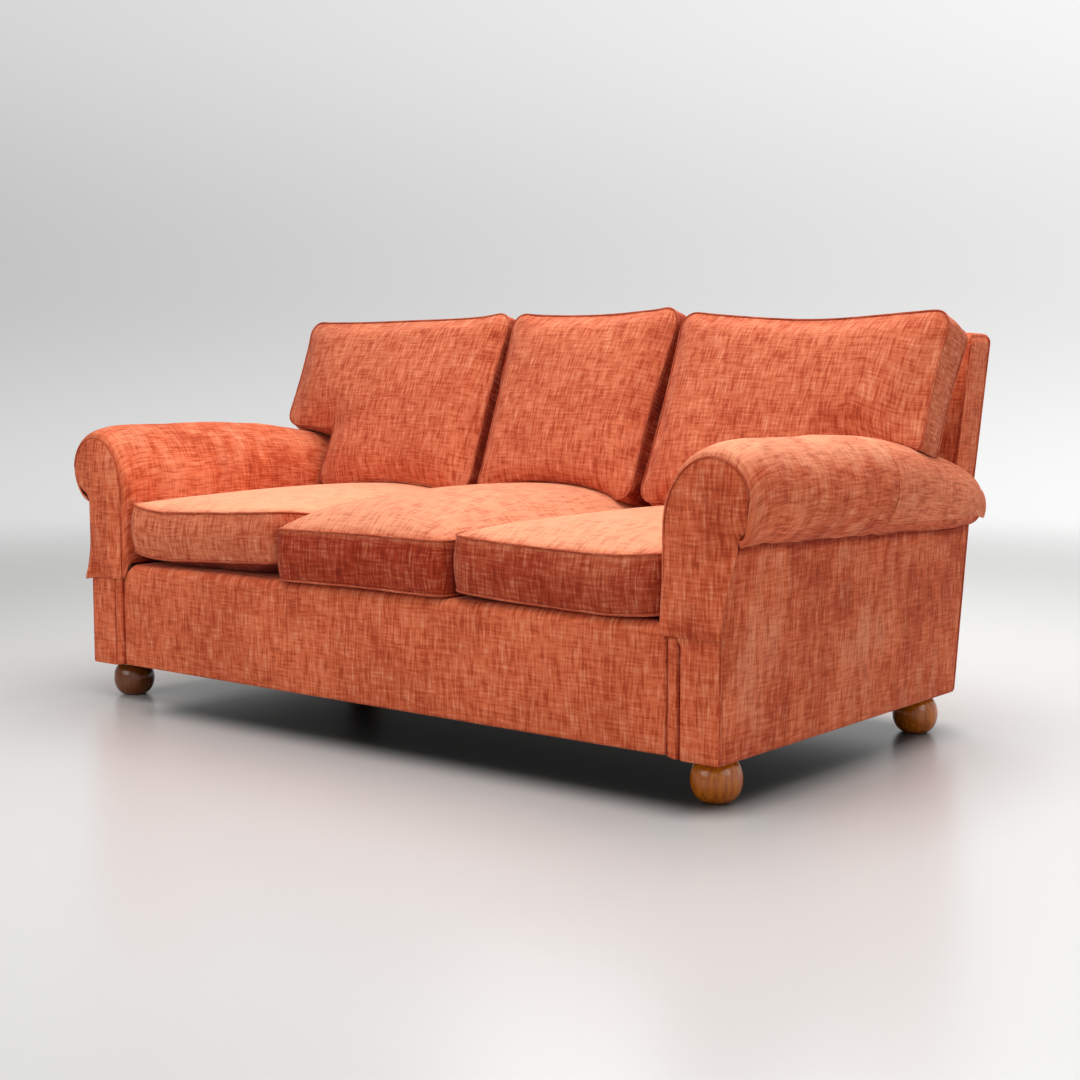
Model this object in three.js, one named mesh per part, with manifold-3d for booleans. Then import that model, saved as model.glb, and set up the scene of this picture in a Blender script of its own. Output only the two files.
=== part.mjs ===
// An english roll arm sofa: a hardwood frame on four ball feet, zigzag seat springs, padded roll arms with
// slip-on arm covers, and six loose cushions. Millimetres, +Z up, front towards -Y, left towards -X.
import * as THREE from "three";
import { mergeVertices } from "three/addons/utils/BufferGeometryUtils.js";
import Module from "manifold-3d";

const wasm = await Module();
wasm.setup();

// Driving dimensions of the whole sofa
const baseWidth = 1800;
const baseDepth = 940;
const backHeight = 868;
const backThickness = 95;
const backKneeHeight = 450;
const lowerRakeDegrees = 8.7;
const upperRakeDegrees = 12.6;
const deckHeight = 330;
const seatOpening = 1542;

// Clearances
const gap = 0.3;
const cushionGap = 2;
const cutOverrun = 40;
const mergeDistance = 0.0001;

// How finely round shapes are drawn
const holeSides = 12;
const footSides = 20;
const footSteps = 8;
const wireSides = 4;
const rollSteps = { inside: 6, outside: 5, under: 4 };
const edgeSteps = 4;
const cornerSteps = 3;

// Ball feet
const footHeight = 83;
const footDiameter = 94;
const footFlatDiameter = 34;
const footInsetX = 53;
const footInsetY = 75;
const studDiameter = 10;
const studLength = 34;
const studHoleClearance = 0.4;

// Roll arms
const rollHeight = 178;
const rollWidth = 203;
const creaseHeightFront = 479;
const creaseHeightRear = 453;
const armPadThickness = 22;
const facingThickness = 8;
const facingStripWidth = 33;
const facingStripRecess = 3;
const facingStripSlope = 5;
const outsidePanelThickness = 5;
const armCoverThickness = 3;
const armCoverFrontHem = 306;
const armCoverInsideHem = 342;
const armCoverTailLength = 18;

// Frame timber
const boardThickness = 18;
const frontBoardInset = 10;
const railThickness = 32;
const bottomRailHeight = 70;
const seatRailHeight = 70;
const sideRailThickness = 30;
const frontPostWidth = 45;
const frontPostDepth = 40;
const armTopRailHeight = 36;
const armLowerRailHeight = 60;
const armLowerRailBottom = 310;
const backPostWidth = 60;
const backPostDepth = 45;
const backTopRailHeight = 60;
const backRailDepth = 30;
const tackingRailHeight = 50;
const tackingRailBottom = 345;
const uprightWidth = 50;
const crossRailHeight = 120;
const crossRailWidth = 32;
const crossRailScoop = 30;
const blockLength = 110;
const blockHeight = 40;
const blockToe = 24;

// Upholstery over the frame
const dustClothThickness = 2;
const dustClothInset = 12;
const borderRecess = 4;
const borderBottomLift = 4;
const borderLipDepth = 88;
const borderLipThickness = 10;
const borderTopRadius = 20;
const insideBackPadThickness = 24;
const insideBackTopThickness = 18;
const insideBackTopRadius = 16;
const outsideBackThickness = 5;
const backTopDrop = 5;

// Zigzag seat springs
const springsPerSeat = 3;
const springWire = 4;
const springLoopWidth = 52;
const springPitch = 72;
const springArch = 15;
const springRailOverlap = 20;
const springZone = 20;

// Loose cushions
const leftSeam = -252;
const rightSeam = 256;
const seatBoxing = 108;
const seatRearClearance = 4;
const seatCornerRadius = 34;
const seatSideDraw = 5;
const backBoxing = 165;
const backFaceHeight = 472;
const backCushionReach = 268.4;
const backCushionLift = 49;
const backLeanDegrees = 22.2;
const backRearCrown = 32;
const backCornerRadius = 26;
const backSideDraw = 7;
const wingReach = 945;
const wingHeight = 168;
const notchRadius = 26;

// Each seat cushion: how far its front stands past the arm facings, and its crown
const seatForms = [
  { name: "left", forward: -4, crown: 58 },
  { name: "middle", forward: 12, crown: 78 },
  { name: "right", forward: 4, crown: 48 },
];

// Each back cushion: its crown, and how far it is turned on its foot
const backForms = [
  { name: "left", crown: 44, turnDegrees: 2.6 },
  { name: "middle", crown: 46, turnDegrees: 0 },
  { name: "right", crown: 44, turnDegrees: -1.4 },
];

// Shares along the arm from its front to its tail: how far the roll rises over its crease and how it swells
const armStationShares = [
  { along: 0, rise: 0.904, swell: 0.93 },
  { along: 0.025, rise: 0.952, swell: 0.97 },
  { along: 0.08, rise: 1, swell: 1 },
  { along: 0.26, rise: 1.038, swell: 1 },
  { along: 0.41, rise: 1.053, swell: 1 },
  { along: 0.57, rise: 1.024, swell: 1 },
  { along: 0.74, rise: 0.909, swell: 1 },
  { along: 0.93, rise: 0.723, swell: 0.97 },
  { along: 1, rise: 0.592, swell: 0.84 },
];

// Shares of the roll's own section, fitted as three quarter ellipses
const rollTopShare = 0.537;
const rollWidestShare = 0.475;
const rollInsideShare = 0.86;

// Shares from the rim of a cushion's face to its middle, and the power that rounds its crown
const crownRingShares = [0.93, 0.8, 0.58, 0.3];
const crownPowerShare = 0.62;

// Shares of a cushion's length that the ridge of its crown runs between, and how far it leans into a wing
const seatSpineShares = [0.33, 0.72];
const backSpineShares = [0.38, 0.62];
const wingSpineShare = 1.6;

// Values worked out from the sizes above
const radians = THREE.MathUtils.degToRad;
const halfWidth = baseWidth / 2;
const frontY = -baseDepth / 2;
const frameBottom = footHeight + gap + dustClothThickness + gap;
const upholsteryBottom = footHeight + gap;
const frameSide = halfWidth - outsidePanelThickness - gap;
const innerArm = seatOpening / 2;
const padInner = innerArm + armCoverThickness;
const rollOuter = innerArm + rollWidth - armCoverThickness;
const rollTopX = padInner + (rollOuter - padInner) * rollTopShare;
const boardFront = frontY + facingThickness + gap;
const boardBack = boardFront + boardThickness;
const postFront = boardBack + gap;
const postBack = postFront + frontPostDepth;
const railFront = postFront;
const railBack = railFront + railThickness;
const springSeat = deckHeight - borderLipThickness - springZone;
const deckBottom = deckHeight - borderLipThickness;
const stripInner = padInner + frontBoardInset;
const lowerSlope = Math.tan(radians(lowerRakeDegrees));
const upperSlope = Math.tan(radians(upperRakeDegrees));

/** Y of the outside of the back at a height. */
function backLine(z) {
  const lower = Math.min(z, backKneeHeight) - upholsteryBottom;
  const upper = Math.max(z - backKneeHeight, 0);
  return baseDepth / 2 + lower * lowerSlope + upper * upperSlope;
}

const padBack = outsideBackThickness + gap;
const padFront = backThickness - insideBackPadThickness - gap;
const postDepth = padBack + backPostDepth;
const bottomRailDepth = padBack + railThickness;
const armTailY = backLine(creaseHeightRear) - outsideBackThickness;
const armRun = armTailY - frontY;

/** The share of the arm's length that a Y lies at. */
function armShare(y) {
  return (y - frontY) / armRun;
}

/** Height of the crease under the roll at a Y. */
function creaseLine(y) {
  return creaseHeightFront + (creaseHeightRear - creaseHeightFront) * armShare(y);
}

/** A mesh geometry from loose triangles, each a row of three points. */
function geometryOf(triangles) {
  const values = triangles.flat().flatMap((p) => [p.x, p.y, p.z]);
  const geometry = new THREE.BufferGeometry();
  geometry.setAttribute("position", new THREE.Float32BufferAttribute(values, 3));
  return geometry;
}

/** A closed solid from any closed three.js geometry, turned to face out. */
function solid(source) {
  const bare = source.index ? source.toNonIndexed() : source.clone();
  bare.deleteAttribute("normal");
  bare.deleteAttribute("uv");
  const geometry = mergeVertices(bare, mergeDistance);
  const vertProperties = new Float32Array(geometry.attributes.position.array);
  const index = geometry.index.array;
  const faces = [];
  let volume = 0;
  for (let i = 0; i < index.length; i += 3) {
    const face = [index[i], index[i + 1], index[i + 2]];
    if (new Set(face).size < 3) continue;
    const [a, b, c] = face.map((corner) => new THREE.Vector3().fromArray(vertProperties, corner * 3));
    volume += a.dot(b.cross(c));
    faces.push(...face);
  }
  const triVerts = new Uint32Array(volume < 0 ? faces.reverse() : faces);
  return new wasm.Manifold(new wasm.Mesh({ numProp: 3, vertProperties, triVerts }));
}

/** A three.js geometry from a solid. */
function geometryFrom(shape) {
  const mesh = shape.getMesh();
  const geometry = new THREE.BufferGeometry();
  geometry.setAttribute("position", new THREE.BufferAttribute(mesh.vertProperties, 3));
  geometry.setIndex(new THREE.BufferAttribute(mesh.triVerts, 1));
  geometry.computeVertexNormals();
  return geometry;
}

/** A box between two corners. */
function box(x0, x1, y0, y1, z0, z1) {
  const geometry = new THREE.BoxGeometry(x1 - x0, y1 - y0, z1 - z0);
  return geometry.translate((x0 + x1) / 2, (y0 + y1) / 2, (z0 + z1) / 2);
}

/** An outline in X and Y raised from z0 to z1, with round holes. */
function plate(points, z0, z1, holes = []) {
  const shape = new THREE.Shape(points.map(([x, y]) => new THREE.Vector2(x, y)));
  for (const hole of holes) {
    const around = Array.from({ length: holeSides }, (_, i) => (Math.PI * 2 * i) / holeSides);
    const unit = around.map((angle) => new THREE.Vector2(Math.cos(angle), Math.sin(angle)));
    shape.holes.push(new THREE.Path(unit.map((p) => p.multiplyScalar(hole.radius).add(hole.centre))));
  }
  const geometry = new THREE.ExtrudeGeometry(shape, { depth: z1 - z0, bevelEnabled: false });
  return geometry.translate(0, 0, z0);
}

/** An outline in Y and Z carried across from x0 to x1. */
function acrossX(points, x0, x1) {
  const shape = new THREE.Shape(points.map(([y, z]) => new THREE.Vector2(y, z)));
  const geometry = new THREE.ExtrudeGeometry(shape, { depth: x1 - x0, bevelEnabled: false });
  geometry.applyMatrix4(new THREE.Matrix4().set(0, 0, 1, x0, 1, 0, 0, 0, 0, 1, 0, 0, 0, 0, 0, 1));
  return geometry;
}

/** An outline in X and Z carried back from y0 to y1. */
function acrossY(points, y0, y1) {
  const shape = new THREE.Shape(points.map(([x, z]) => new THREE.Vector2(x, z)));
  const geometry = new THREE.ExtrudeGeometry(shape, { depth: y1 - y0, bevelEnabled: false });
  geometry.applyMatrix4(new THREE.Matrix4().set(1, 0, 0, 0, 0, 0, 1, y0, 0, 1, 0, 0, 0, 0, 0, 1));
  return geometry;
}

/** A skin through rings of equally many points, with a cap on its first and last ring. */
function loft(rings, flatten) {
  const triangles = [];
  const count = rings[0].length;
  for (let i = 0; i + 1 < rings.length; i += 1) {
    for (let j = 0; j < count; j += 1) {
      const next = (j + 1) % count;
      triangles.push([rings[i][j], rings[i][next], rings[i + 1][next]]);
      triangles.push([rings[i][j], rings[i + 1][next], rings[i + 1][j]]);
    }
  }
  const first = rings[0];
  const last = rings[rings.length - 1];
  for (const [ring, runsBack] of [[first, true], [last, false]]) {
    const flat = ring.map(flatten);
    for (const corners of THREE.ShapeUtils.triangulateShape([...flat], [])) {
      const area = THREE.ShapeUtils.area(corners.map((corner) => flat[corner]));
      const follows = area > 0 === THREE.ShapeUtils.area(flat) > 0;
      const face = corners.map((corner) => ring[corner]);
      triangles.push(follows === runsBack ? face.reverse() : face);
    }
  }
  return geometryOf(triangles);
}

/** Points on a quarter ellipse, without its first point. */
function quarter(centreX, centreZ, radiusX, radiusZ, fromDegrees, steps) {
  const points = [];
  for (let i = 1; i <= steps; i += 1) {
    const angle = radians(fromDegrees - (90 * i) / steps);
    points.push([centreX + radiusX * Math.cos(angle), centreZ + radiusZ * Math.sin(angle)]);
  }
  return points;
}

/** The roll's line at one station: up the inner face, over the top and round to the crease. */
function rollLine(station, y, spread, footZ) {
  const crease = creaseLine(y);
  const rise = rollHeight * station.rise - armCoverThickness;
  const top = crease + rise;
  const widest = crease + rise * rollWidestShare;
  const insideDrop = rise * rollInsideShare;
  const outer = halfWidth + (rollOuter - halfWidth) * station.swell;
  const line = [[padInner - spread, footZ], [padInner - spread, top - insideDrop]];
  const { inside, outside, under } = rollSteps;
  const shoulder = top - insideDrop;
  line.push(...quarter(rollTopX, shoulder, rollTopX - padInner + spread, insideDrop + spread, 180, inside));
  line.push(...quarter(rollTopX, widest, outer - rollTopX + spread, top - widest + spread, 90, outside));
  line.push(...quarter(halfWidth, widest, outer - halfWidth + spread, widest - crease + spread, 0, under));
  return { crease, line };
}

/** An arm piece lofted from its sections, its front set back and its end carried past the last one. */
function armLoft(side, { spread, footZ, setBack, tail, closing }) {
  const last = armStationShares[armStationShares.length - 1];
  const stations = tail > 0 ? [...armStationShares, last] : armStationShares;
  const rings = stations.map((station, index) => {
    const sectionY = frontY + armRun * station.along + (index === armStationShares.length ? tail : 0);
    const { crease, line } = rollLine(station, sectionY, spread, footZ);
    const ringY = sectionY + (index === 0 ? setBack : 0);
    return [...line, ...closing(crease)].map(([x, z]) => new THREE.Vector3(side * x, ringY, z));
  });
  return loft(rings, (p) => new THREE.Vector2(p.x, p.z));
}

/** The room that the upholstered back takes, grown by a clearance. */
function backRoom(clearance) {
  const knee = backKneeHeight;
  const low = -cutOverrun;
  const high = backHeight + cutOverrun;
  const front = (z) => backLine(z) - backThickness - clearance;
  const rear = (z) => backLine(z) + backThickness;
  const outline = [
    [front(low), low], [rear(low), low], [rear(knee), knee], [rear(high), high], [front(high), high],
    [front(knee), knee],
  ];
  return solid(acrossX(outline, -halfWidth - clearance, halfWidth + clearance));
}

/** A turned ball foot with its steel stud, at one corner. */
function foot(x, y) {
  const radius = footDiameter / 2;
  const flat = footFlatDiameter / 2;
  const bulge = Math.asin(flat / radius);
  const middle = footHeight / 2;
  const profile = [new THREE.Vector2(0, 0)];
  for (let i = 0; i <= footSteps; i += 1) {
    const angle = -Math.PI / 2 + bulge + ((Math.PI - bulge * 2) * i) / footSteps;
    const lift = Math.sin(angle) / Math.cos(bulge);
    profile.push(new THREE.Vector2(radius * Math.cos(angle), middle + middle * lift));
  }
  profile.push(new THREE.Vector2(studDiameter / 2, footHeight));
  profile.push(new THREE.Vector2(studDiameter / 2, footHeight + studLength));
  profile.push(new THREE.Vector2(0, footHeight + studLength));
  return new THREE.LatheGeometry(profile, footSides).rotateX(Math.PI / 2).translate(x, y, 0);
}

/** Y of the front of the back posts at a height. */
function postFace(z) {
  return backLine(z) - postDepth - gap;
}

/** A corner block with its stud hole, fitted into the angle of the rails. */
function cornerBlock(side, end) {
  const corner = frameSide - (end < 0 ? frontPostWidth : backPostWidth) - gap;
  const railInner = frameSide - sideRailThickness - gap;
  const edge = end < 0 ? railBack + gap : backLine(frameBottom) - bottomRailDepth - gap;
  const notch = end < 0 ? postBack + gap : postFace(frameBottom);
  const inward = -end;
  const reach = notch + inward * blockLength;
  const points = [
    [railInner, notch], [railInner, reach], [railInner - blockToe, reach],
    [corner - blockLength, edge + inward * blockToe], [corner - blockLength, edge], [corner, edge],
    [corner, notch],
  ];
  const outline = points.map(([x, y]) => [side * x, y]);
  const holeY = end * (baseDepth / 2 - footInsetY);
  const centre = new THREE.Vector2(side * (halfWidth - footInsetX), holeY);
  const hole = { centre, radius: studDiameter / 2 + studHoleClearance };
  return plate(outline, frameBottom, frameBottom + blockHeight, [hole]);
}

/** A rail whose ends lie between two lines in Y, given as functions of height. */
function slopedRail(x0, x1, front, rear, z0, z1) {
  return acrossX([[front(z0), z0], [rear(z0), z0], [rear(z1), z1], [front(z1), z1]], x0, x1);
}

/** Points up the back, so far in from its outside, between two heights. */
function rakedLine(depth, z0, z1) {
  const knee = backKneeHeight;
  const heights = z0 < knee && z1 > knee ? [z0, knee, z1] : [z0, z1];
  return heights.map((z) => [backLine(z) - depth, z]);
}

/** A raked strip of the back between two distances in from its outside, over a range of heights. */
function rakedPost(x0, x1, outerDepth, innerDepth, z0, z1) {
  return acrossX([...rakedLine(outerDepth, z0, z1), ...rakedLine(innerDepth, z0, z1).reverse()], x0, x1);
}

/** The zigzag line of one spring, arched over the seat. */
function springLine(x) {
  const start = railBack - springRailOverlap;
  const end = backLine(springSeat) - padFront + springRailOverlap;
  const loops = Math.round((end - start) / springPitch);
  const pitch = (end - start) / loops;
  const reachShares = [0.86, 1, 0.86, -0.86, -1, -0.86];
  const alongShares = [0.1, 0.25, 0.4, 0.6, 0.75, 0.9];
  const rest = springSeat + gap + springWire / 2;
  const points = [new THREE.Vector3(x, start, rest)];
  for (let i = 0; i < loops * reachShares.length; i += 1) {
    const turn = Math.floor(i / reachShares.length);
    const step = i % reachShares.length;
    const y = start + (turn + alongShares[step]) * pitch;
    const arch = springArch * Math.sin((Math.PI * (y - start)) / (end - start));
    const wireX = x + (springLoopWidth / 2) * reachShares[step];
    points.push(new THREE.Vector3(wireX, y, rest + arch));
  }
  points.push(new THREE.Vector3(x, end, rest));
  return points;
}

/** A round wire swept along points, square to its line at each. */
function wire(points, diameter) {
  const up = new THREE.Vector3(0, 0, 1);
  const rings = points.map((point, index) => {
    const before = points[Math.max(index - 1, 0)];
    const after = points[Math.min(index + 1, points.length - 1)];
    const across = new THREE.Vector3().subVectors(after, before).normalize().cross(up).normalize();
    return Array.from({ length: wireSides }, (_, k) => {
      const angle = ((k + 0.5) / wireSides) * Math.PI * 2;
      const shift = across.clone().multiplyScalar((Math.cos(angle) * diameter) / 2);
      return point.clone().add(shift).addScaledVector(up, (Math.sin(angle) * diameter) / 2);
    });
  });
  return loft(rings, (p) => new THREE.Vector2(p.x, p.z));
}

/** An outline with each corner rounded by its own radius and its straight runs drawn in. */
function softOutline(corners, draw) {
  const points = [];
  corners.forEach((corner, index) => {
    const before = corners[(index + corners.length - 1) % corners.length].at;
    const after = corners[(index + 1) % corners.length].at;
    const toBefore = before.clone().sub(corner.at).normalize();
    const toAfter = after.clone().sub(corner.at).normalize();
    const start = corner.at.clone().addScaledVector(toBefore, corner.radius);
    const end = corner.at.clone().addScaledVector(toAfter, corner.radius);
    const curve = new THREE.QuadraticBezierCurve(start, corner.at, end);
    points.push(...curve.getPoints(cornerSteps));
    const nextRadius = corners[(index + 1) % corners.length].radius;
    const run = after.clone().addScaledVector(toAfter, -nextRadius).sub(end);
    const inward = new THREE.Vector2(-toAfter.y, toAfter.x);
    for (let i = 1; i < corner.along; i += 1) {
      const share = i / corner.along;
      const drawn = draw * Math.sin(Math.PI * share);
      points.push(end.clone().addScaledVector(run, share).addScaledVector(inward, drawn));
    }
  });
  return points;
}

/** A boxed cushion on its own X and Y: boxing from z = 0 up, faces crowned towards a spine. */
function pillow(outline, spineStart, spineEnd, boxing, upperCrown, lowerCrown) {
  const spine = new THREE.Vector2().subVectors(spineEnd, spineStart);
  const ringAt = (share, z) => outline.map((p) => {
    const along = new THREE.Vector2().subVectors(p, spineStart).dot(spine) / spine.lengthSq();
    const nearest = spineStart.clone().addScaledVector(spine, THREE.MathUtils.clamp(along, 0, 1));
    const q = nearest.lerp(p, share);
    return new THREE.Vector3(q.x, q.y, z);
  });
  const rise = (share) => (1 - share ** 2) ** crownPowerShare;
  const rings = [];
  if (lowerCrown > 0) {
    const inwards = [...crownRingShares].reverse();
    rings.push(...inwards.map((share) => ringAt(share, -lowerCrown * rise(share))));
  }
  rings.push(ringAt(1, 0), ringAt(1, boxing));
  for (const share of crownRingShares) rings.push(ringAt(share, boxing + upperCrown * rise(share)));
  return loft(rings, (p) => new THREE.Vector2(p.x, p.y));
}

/** One seat cushion on the deck, between two X positions. */
function seatCushion(x0, x1, form) {
  const front = frontY - form.forward;
  const rear = backLine(deckHeight) - backThickness - seatRearClearance;
  const corner = (x, y) => ({ at: new THREE.Vector2(x, y), radius: seatCornerRadius, along: 5 });
  const corners = [corner(x0, front), corner(x1, front), corner(x1, rear), corner(x0, rear)];
  const outline = softOutline(corners, seatSideDraw);
  const middleX = (x0 + x1) / 2;
  const spineStart = new THREE.Vector2(middleX, THREE.MathUtils.lerp(front, rear, seatSpineShares[0]));
  const spineEnd = new THREE.Vector2(middleX, THREE.MathUtils.lerp(front, rear, seatSpineShares[1]));
  const cushion = pillow(outline, spineStart, spineEnd, seatBoxing, form.crown, 0);
  return solid(cushion.translate(0, 0, deckHeight + gap));
}

/** One back cushion before it is seated: its outline stands on the seat and leans on the back. */
function looseBackCushion(x0, x1, form) {
  const corner = (x, y, radius = backCornerRadius) => ({ at: new THREE.Vector2(x, y), radius, along: 4 });
  const foot0 = Math.max(x0, -innerArm + cushionGap);
  const foot1 = Math.min(x1, innerArm - cushionGap);
  const corners = [corner(foot0, 0), corner(foot1, 0)];
  if (foot1 < x1) corners.push(corner(foot1, wingHeight, notchRadius), corner(x1, wingHeight));
  corners.push(corner(x1, backFaceHeight), corner(x0, backFaceHeight));
  if (foot0 > x0) corners.push(corner(x0, wingHeight), corner(foot0, wingHeight, notchRadius));
  const footX = (foot0 + foot1) / 2;
  const upperX = (x0 + x1) / 2;
  const lean = (upperX - footX) * wingSpineShare;
  const spineStart = new THREE.Vector2(footX, backFaceHeight * backSpineShares[0]);
  const spineEnd = new THREE.Vector2(footX + lean, backFaceHeight * backSpineShares[1]);
  const outline = softOutline(corners, backSideDraw);
  const geometry = pillow(outline, spineStart, spineEnd, backBoxing, form.crown, backRearCrown);
  const pivotX = form.turnDegrees < 0 ? x0 : x1;
  geometry.translate(-pivotX, 0, -backBoxing);
  geometry.rotateX(Math.PI / 2 - radians(backLeanDegrees));
  geometry.rotateZ(radians(form.turnDegrees));
  const footZ = deckHeight + seatBoxing + backCushionLift;
  const footY = backLine(footZ) - backThickness - backCushionReach;
  return solid(geometry.translate(pivotX, footY, footZ));
}

const sofa = new THREE.Group();
const finish = {
  fabric: new THREE.MeshStandardMaterial({ color: "#c8623f", roughness: 0.95, metalness: 0 }),
  hardwood: new THREE.MeshStandardMaterial({ color: "#c9a06a", roughness: 0.7, metalness: 0 }),
  varnished: new THREE.MeshStandardMaterial({ color: "#9a4f1c", roughness: 0.3, metalness: 0 }),
  steel: new THREE.MeshStandardMaterial({ color: "#8d9093", roughness: 0.4, metalness: 1 }),
  lining: new THREE.MeshStandardMaterial({ color: "#26221f", roughness: 1, metalness: 0 }),
};

/** Adds one named piece to the sofa. */
function add(name, shape, material) {
  const geometry = shape.isBufferGeometry ? geometryFrom(solid(shape)) : geometryFrom(shape);
  const mesh = new THREE.Mesh(geometry, material);
  mesh.name = name;
  sofa.add(mesh);
}

const sides = [{ name: "left", sign: -1 }, { name: "right", sign: 1 }];

/** Orders a mirrored pair of X positions. */
function span(sign, inner, outer) {
  return sign < 0 ? [-outer, -inner] : [inner, outer];
}

// Feet, corner blocks and the cloth under the frame
const studHoles = [];
for (const { name, sign } of sides) {
  for (const [place, end] of [["front", -1], ["rear", 1]]) {
    const x = sign * (halfWidth - footInsetX);
    const y = end * (baseDepth / 2 - footInsetY);
    add(`${place}_${name}_foot`, foot(x, y), finish.varnished);
    add(`${place}_${name}_corner_block`, cornerBlock(sign, end), finish.hardwood);
    studHoles.push({ centre: new THREE.Vector2(x, y), radius: studDiameter / 2 + studHoleClearance });
  }
}
const clothX = halfWidth - outsidePanelThickness - dustClothInset;
const clothFront = railFront + dustClothInset;
const clothRear = backLine(upholsteryBottom) - padBack - dustClothInset;
const clothOutline = [[-clothX, clothFront], [clothX, clothFront], [clothX, clothRear], [-clothX, clothRear]];
const clothTop = upholsteryBottom + dustClothThickness;
add("dust_cloth", plate(clothOutline, upholsteryBottom, clothTop, studHoles), finish.lining);

// Base frame: bottom rails, seat rails and cross rails
const frontPostInner = frameSide - frontPostWidth - gap;
const backPostInner = frameSide - backPostWidth - gap;
const bottomRailTop = frameBottom + bottomRailHeight;
const seatRailBottom = springSeat - seatRailHeight;
add("front_bottom_rail",
  box(-frontPostInner, frontPostInner, railFront, railBack, frameBottom, bottomRailTop), finish.hardwood);
add("front_seat_rail",
  box(-frontPostInner, frontPostInner, railFront, railBack, seatRailBottom, springSeat), finish.hardwood);
add("back_bottom_rail",
  rakedPost(-backPostInner, backPostInner, padBack, bottomRailDepth, frameBottom, bottomRailTop),
  finish.hardwood);
add("back_seat_rail",
  rakedPost(-backPostInner, backPostInner, padFront - railThickness, padFront, seatRailBottom, springSeat),
  finish.hardwood);
for (const { name, sign } of sides) {
  const [x0, x1] = span(sign, frameSide - sideRailThickness, frameSide);
  add(`${name}_side_rail`, slopedRail(x0, x1, () => postBack + gap, postFace, frameBottom, bottomRailTop),
    finish.hardwood);
}
for (const [name, seam] of [["left", leftSeam], ["right", rightSeam]]) {
  const top = seatRailBottom - gap;
  const low = top - crossRailHeight;
  const front = railBack + gap;
  const rear = (z) => backLine(z) - bottomRailDepth - gap;
  const middle = (front + rear(low)) / 2;
  const outline = [
    [front, low], [front + crossRailHeight, low], [middle, low + crossRailScoop],
    [rear(low) - crossRailHeight, low], [rear(low), low], [rear(top), top], [front, top],
  ];
  const rail = acrossX(outline, seam - crossRailWidth / 2, seam + crossRailWidth / 2);
  add(`${name}_cross_rail`, rail, finish.hardwood);
}

/** The scroll board at the front of an arm, grown by a clearance and started at a Y. */
function frontBoard(side, grown, startY) {
  const { crease, line } = rollLine(armStationShares[0], frontY, grown - frontBoardInset, frameBottom);
  const outer = frameSide + grown;
  const board = [...line, [outer, crease + frontBoardInset - grown], [outer, frameBottom]];
  return acrossY(board.map(([x, z]) => [side * x, z]), startY, boardBack + grown);
}

// Arm frames: post, scroll board, top rail and lower rail on each side
for (const { name, sign } of sides) {
  const [x0, x1] = span(sign, frameSide - frontPostWidth, frameSide);
  const underRail = (y) => creaseLine(y) - gap;
  add(`${name}_front_post`, acrossX([
    [postFront, frameBottom], [postBack, frameBottom], [postBack, underRail(postBack)],
    [postFront, underRail(postFront)],
  ], x0, x1), finish.hardwood);

  add(`${name}_front_board`, frontBoard(sign, 0, boardFront), finish.hardwood);

  const railTop = (y) => creaseLine(y) + armTopRailHeight;
  const rearY = postFace(creaseHeightRear);
  const [r0, r1] = span(sign, padInner + armPadThickness + gap, frameSide);
  add(`${name}_arm_top_rail`, acrossX([
    [postFront, creaseLine(postFront)], [rearY, creaseLine(rearY)], [rearY, railTop(rearY)],
    [postFront, railTop(postFront)],
  ], r0, r1), finish.hardwood);

  const [l0, l1] = span(sign, frameSide - sideRailThickness, frameSide);
  const lowerTop = armLowerRailBottom + armLowerRailHeight;
  const lowerRail = slopedRail(l0, l1, () => postBack + gap, postFace, armLowerRailBottom, lowerTop);
  add(`${name}_arm_lower_rail`, lowerRail, finish.hardwood);
}

// Back frame: raked posts, two uprights, top rail and tacking rail
const frameTop = backHeight - insideBackTopThickness - gap;
for (const { name, sign } of sides) {
  const [x0, x1] = span(sign, frameSide - backPostWidth, frameSide);
  add(`${name}_back_post`, rakedPost(x0, x1, padBack, postDepth, frameBottom, frameTop), finish.hardwood);
}
const topRailBottom = frameTop - backTopRailHeight;
const tackingTop = tackingRailBottom + tackingRailHeight;
add("back_top_rail",
  rakedPost(-backPostInner, backPostInner, padFront - backRailDepth, padFront, topRailBottom, frameTop),
  finish.hardwood);
add("back_tacking_rail",
  rakedPost(-backPostInner, backPostInner, padFront - backRailDepth, padFront, tackingRailBottom, tackingTop),
  finish.hardwood);
for (const [name, seam] of [["left", leftSeam], ["right", rightSeam]]) {
  const [x0, x1] = [seam - uprightWidth / 2, seam + uprightWidth / 2];
  add(`${name}_back_upright`,
    rakedPost(x0, x1, padFront - backRailDepth, padFront, tackingTop + gap, topRailBottom - gap),
    finish.hardwood);
}

// Zigzag springs, equally spaced over each seat
const seatEdges = [-innerArm, leftSeam, rightSeam, innerArm];
let springNumber = 0;
for (let seat = 0; seat + 1 < seatEdges.length; seat += 1) {
  const width = seatEdges[seat + 1] - seatEdges[seat];
  for (let i = 0; i < springsPerSeat; i += 1) {
    springNumber += 1;
    const x = seatEdges[seat] + (width * (i + 0.5)) / springsPerSeat;
    add(`seat_spring_${springNumber}`, wire(springLine(x), springWire), finish.steel);
  }
}

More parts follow.
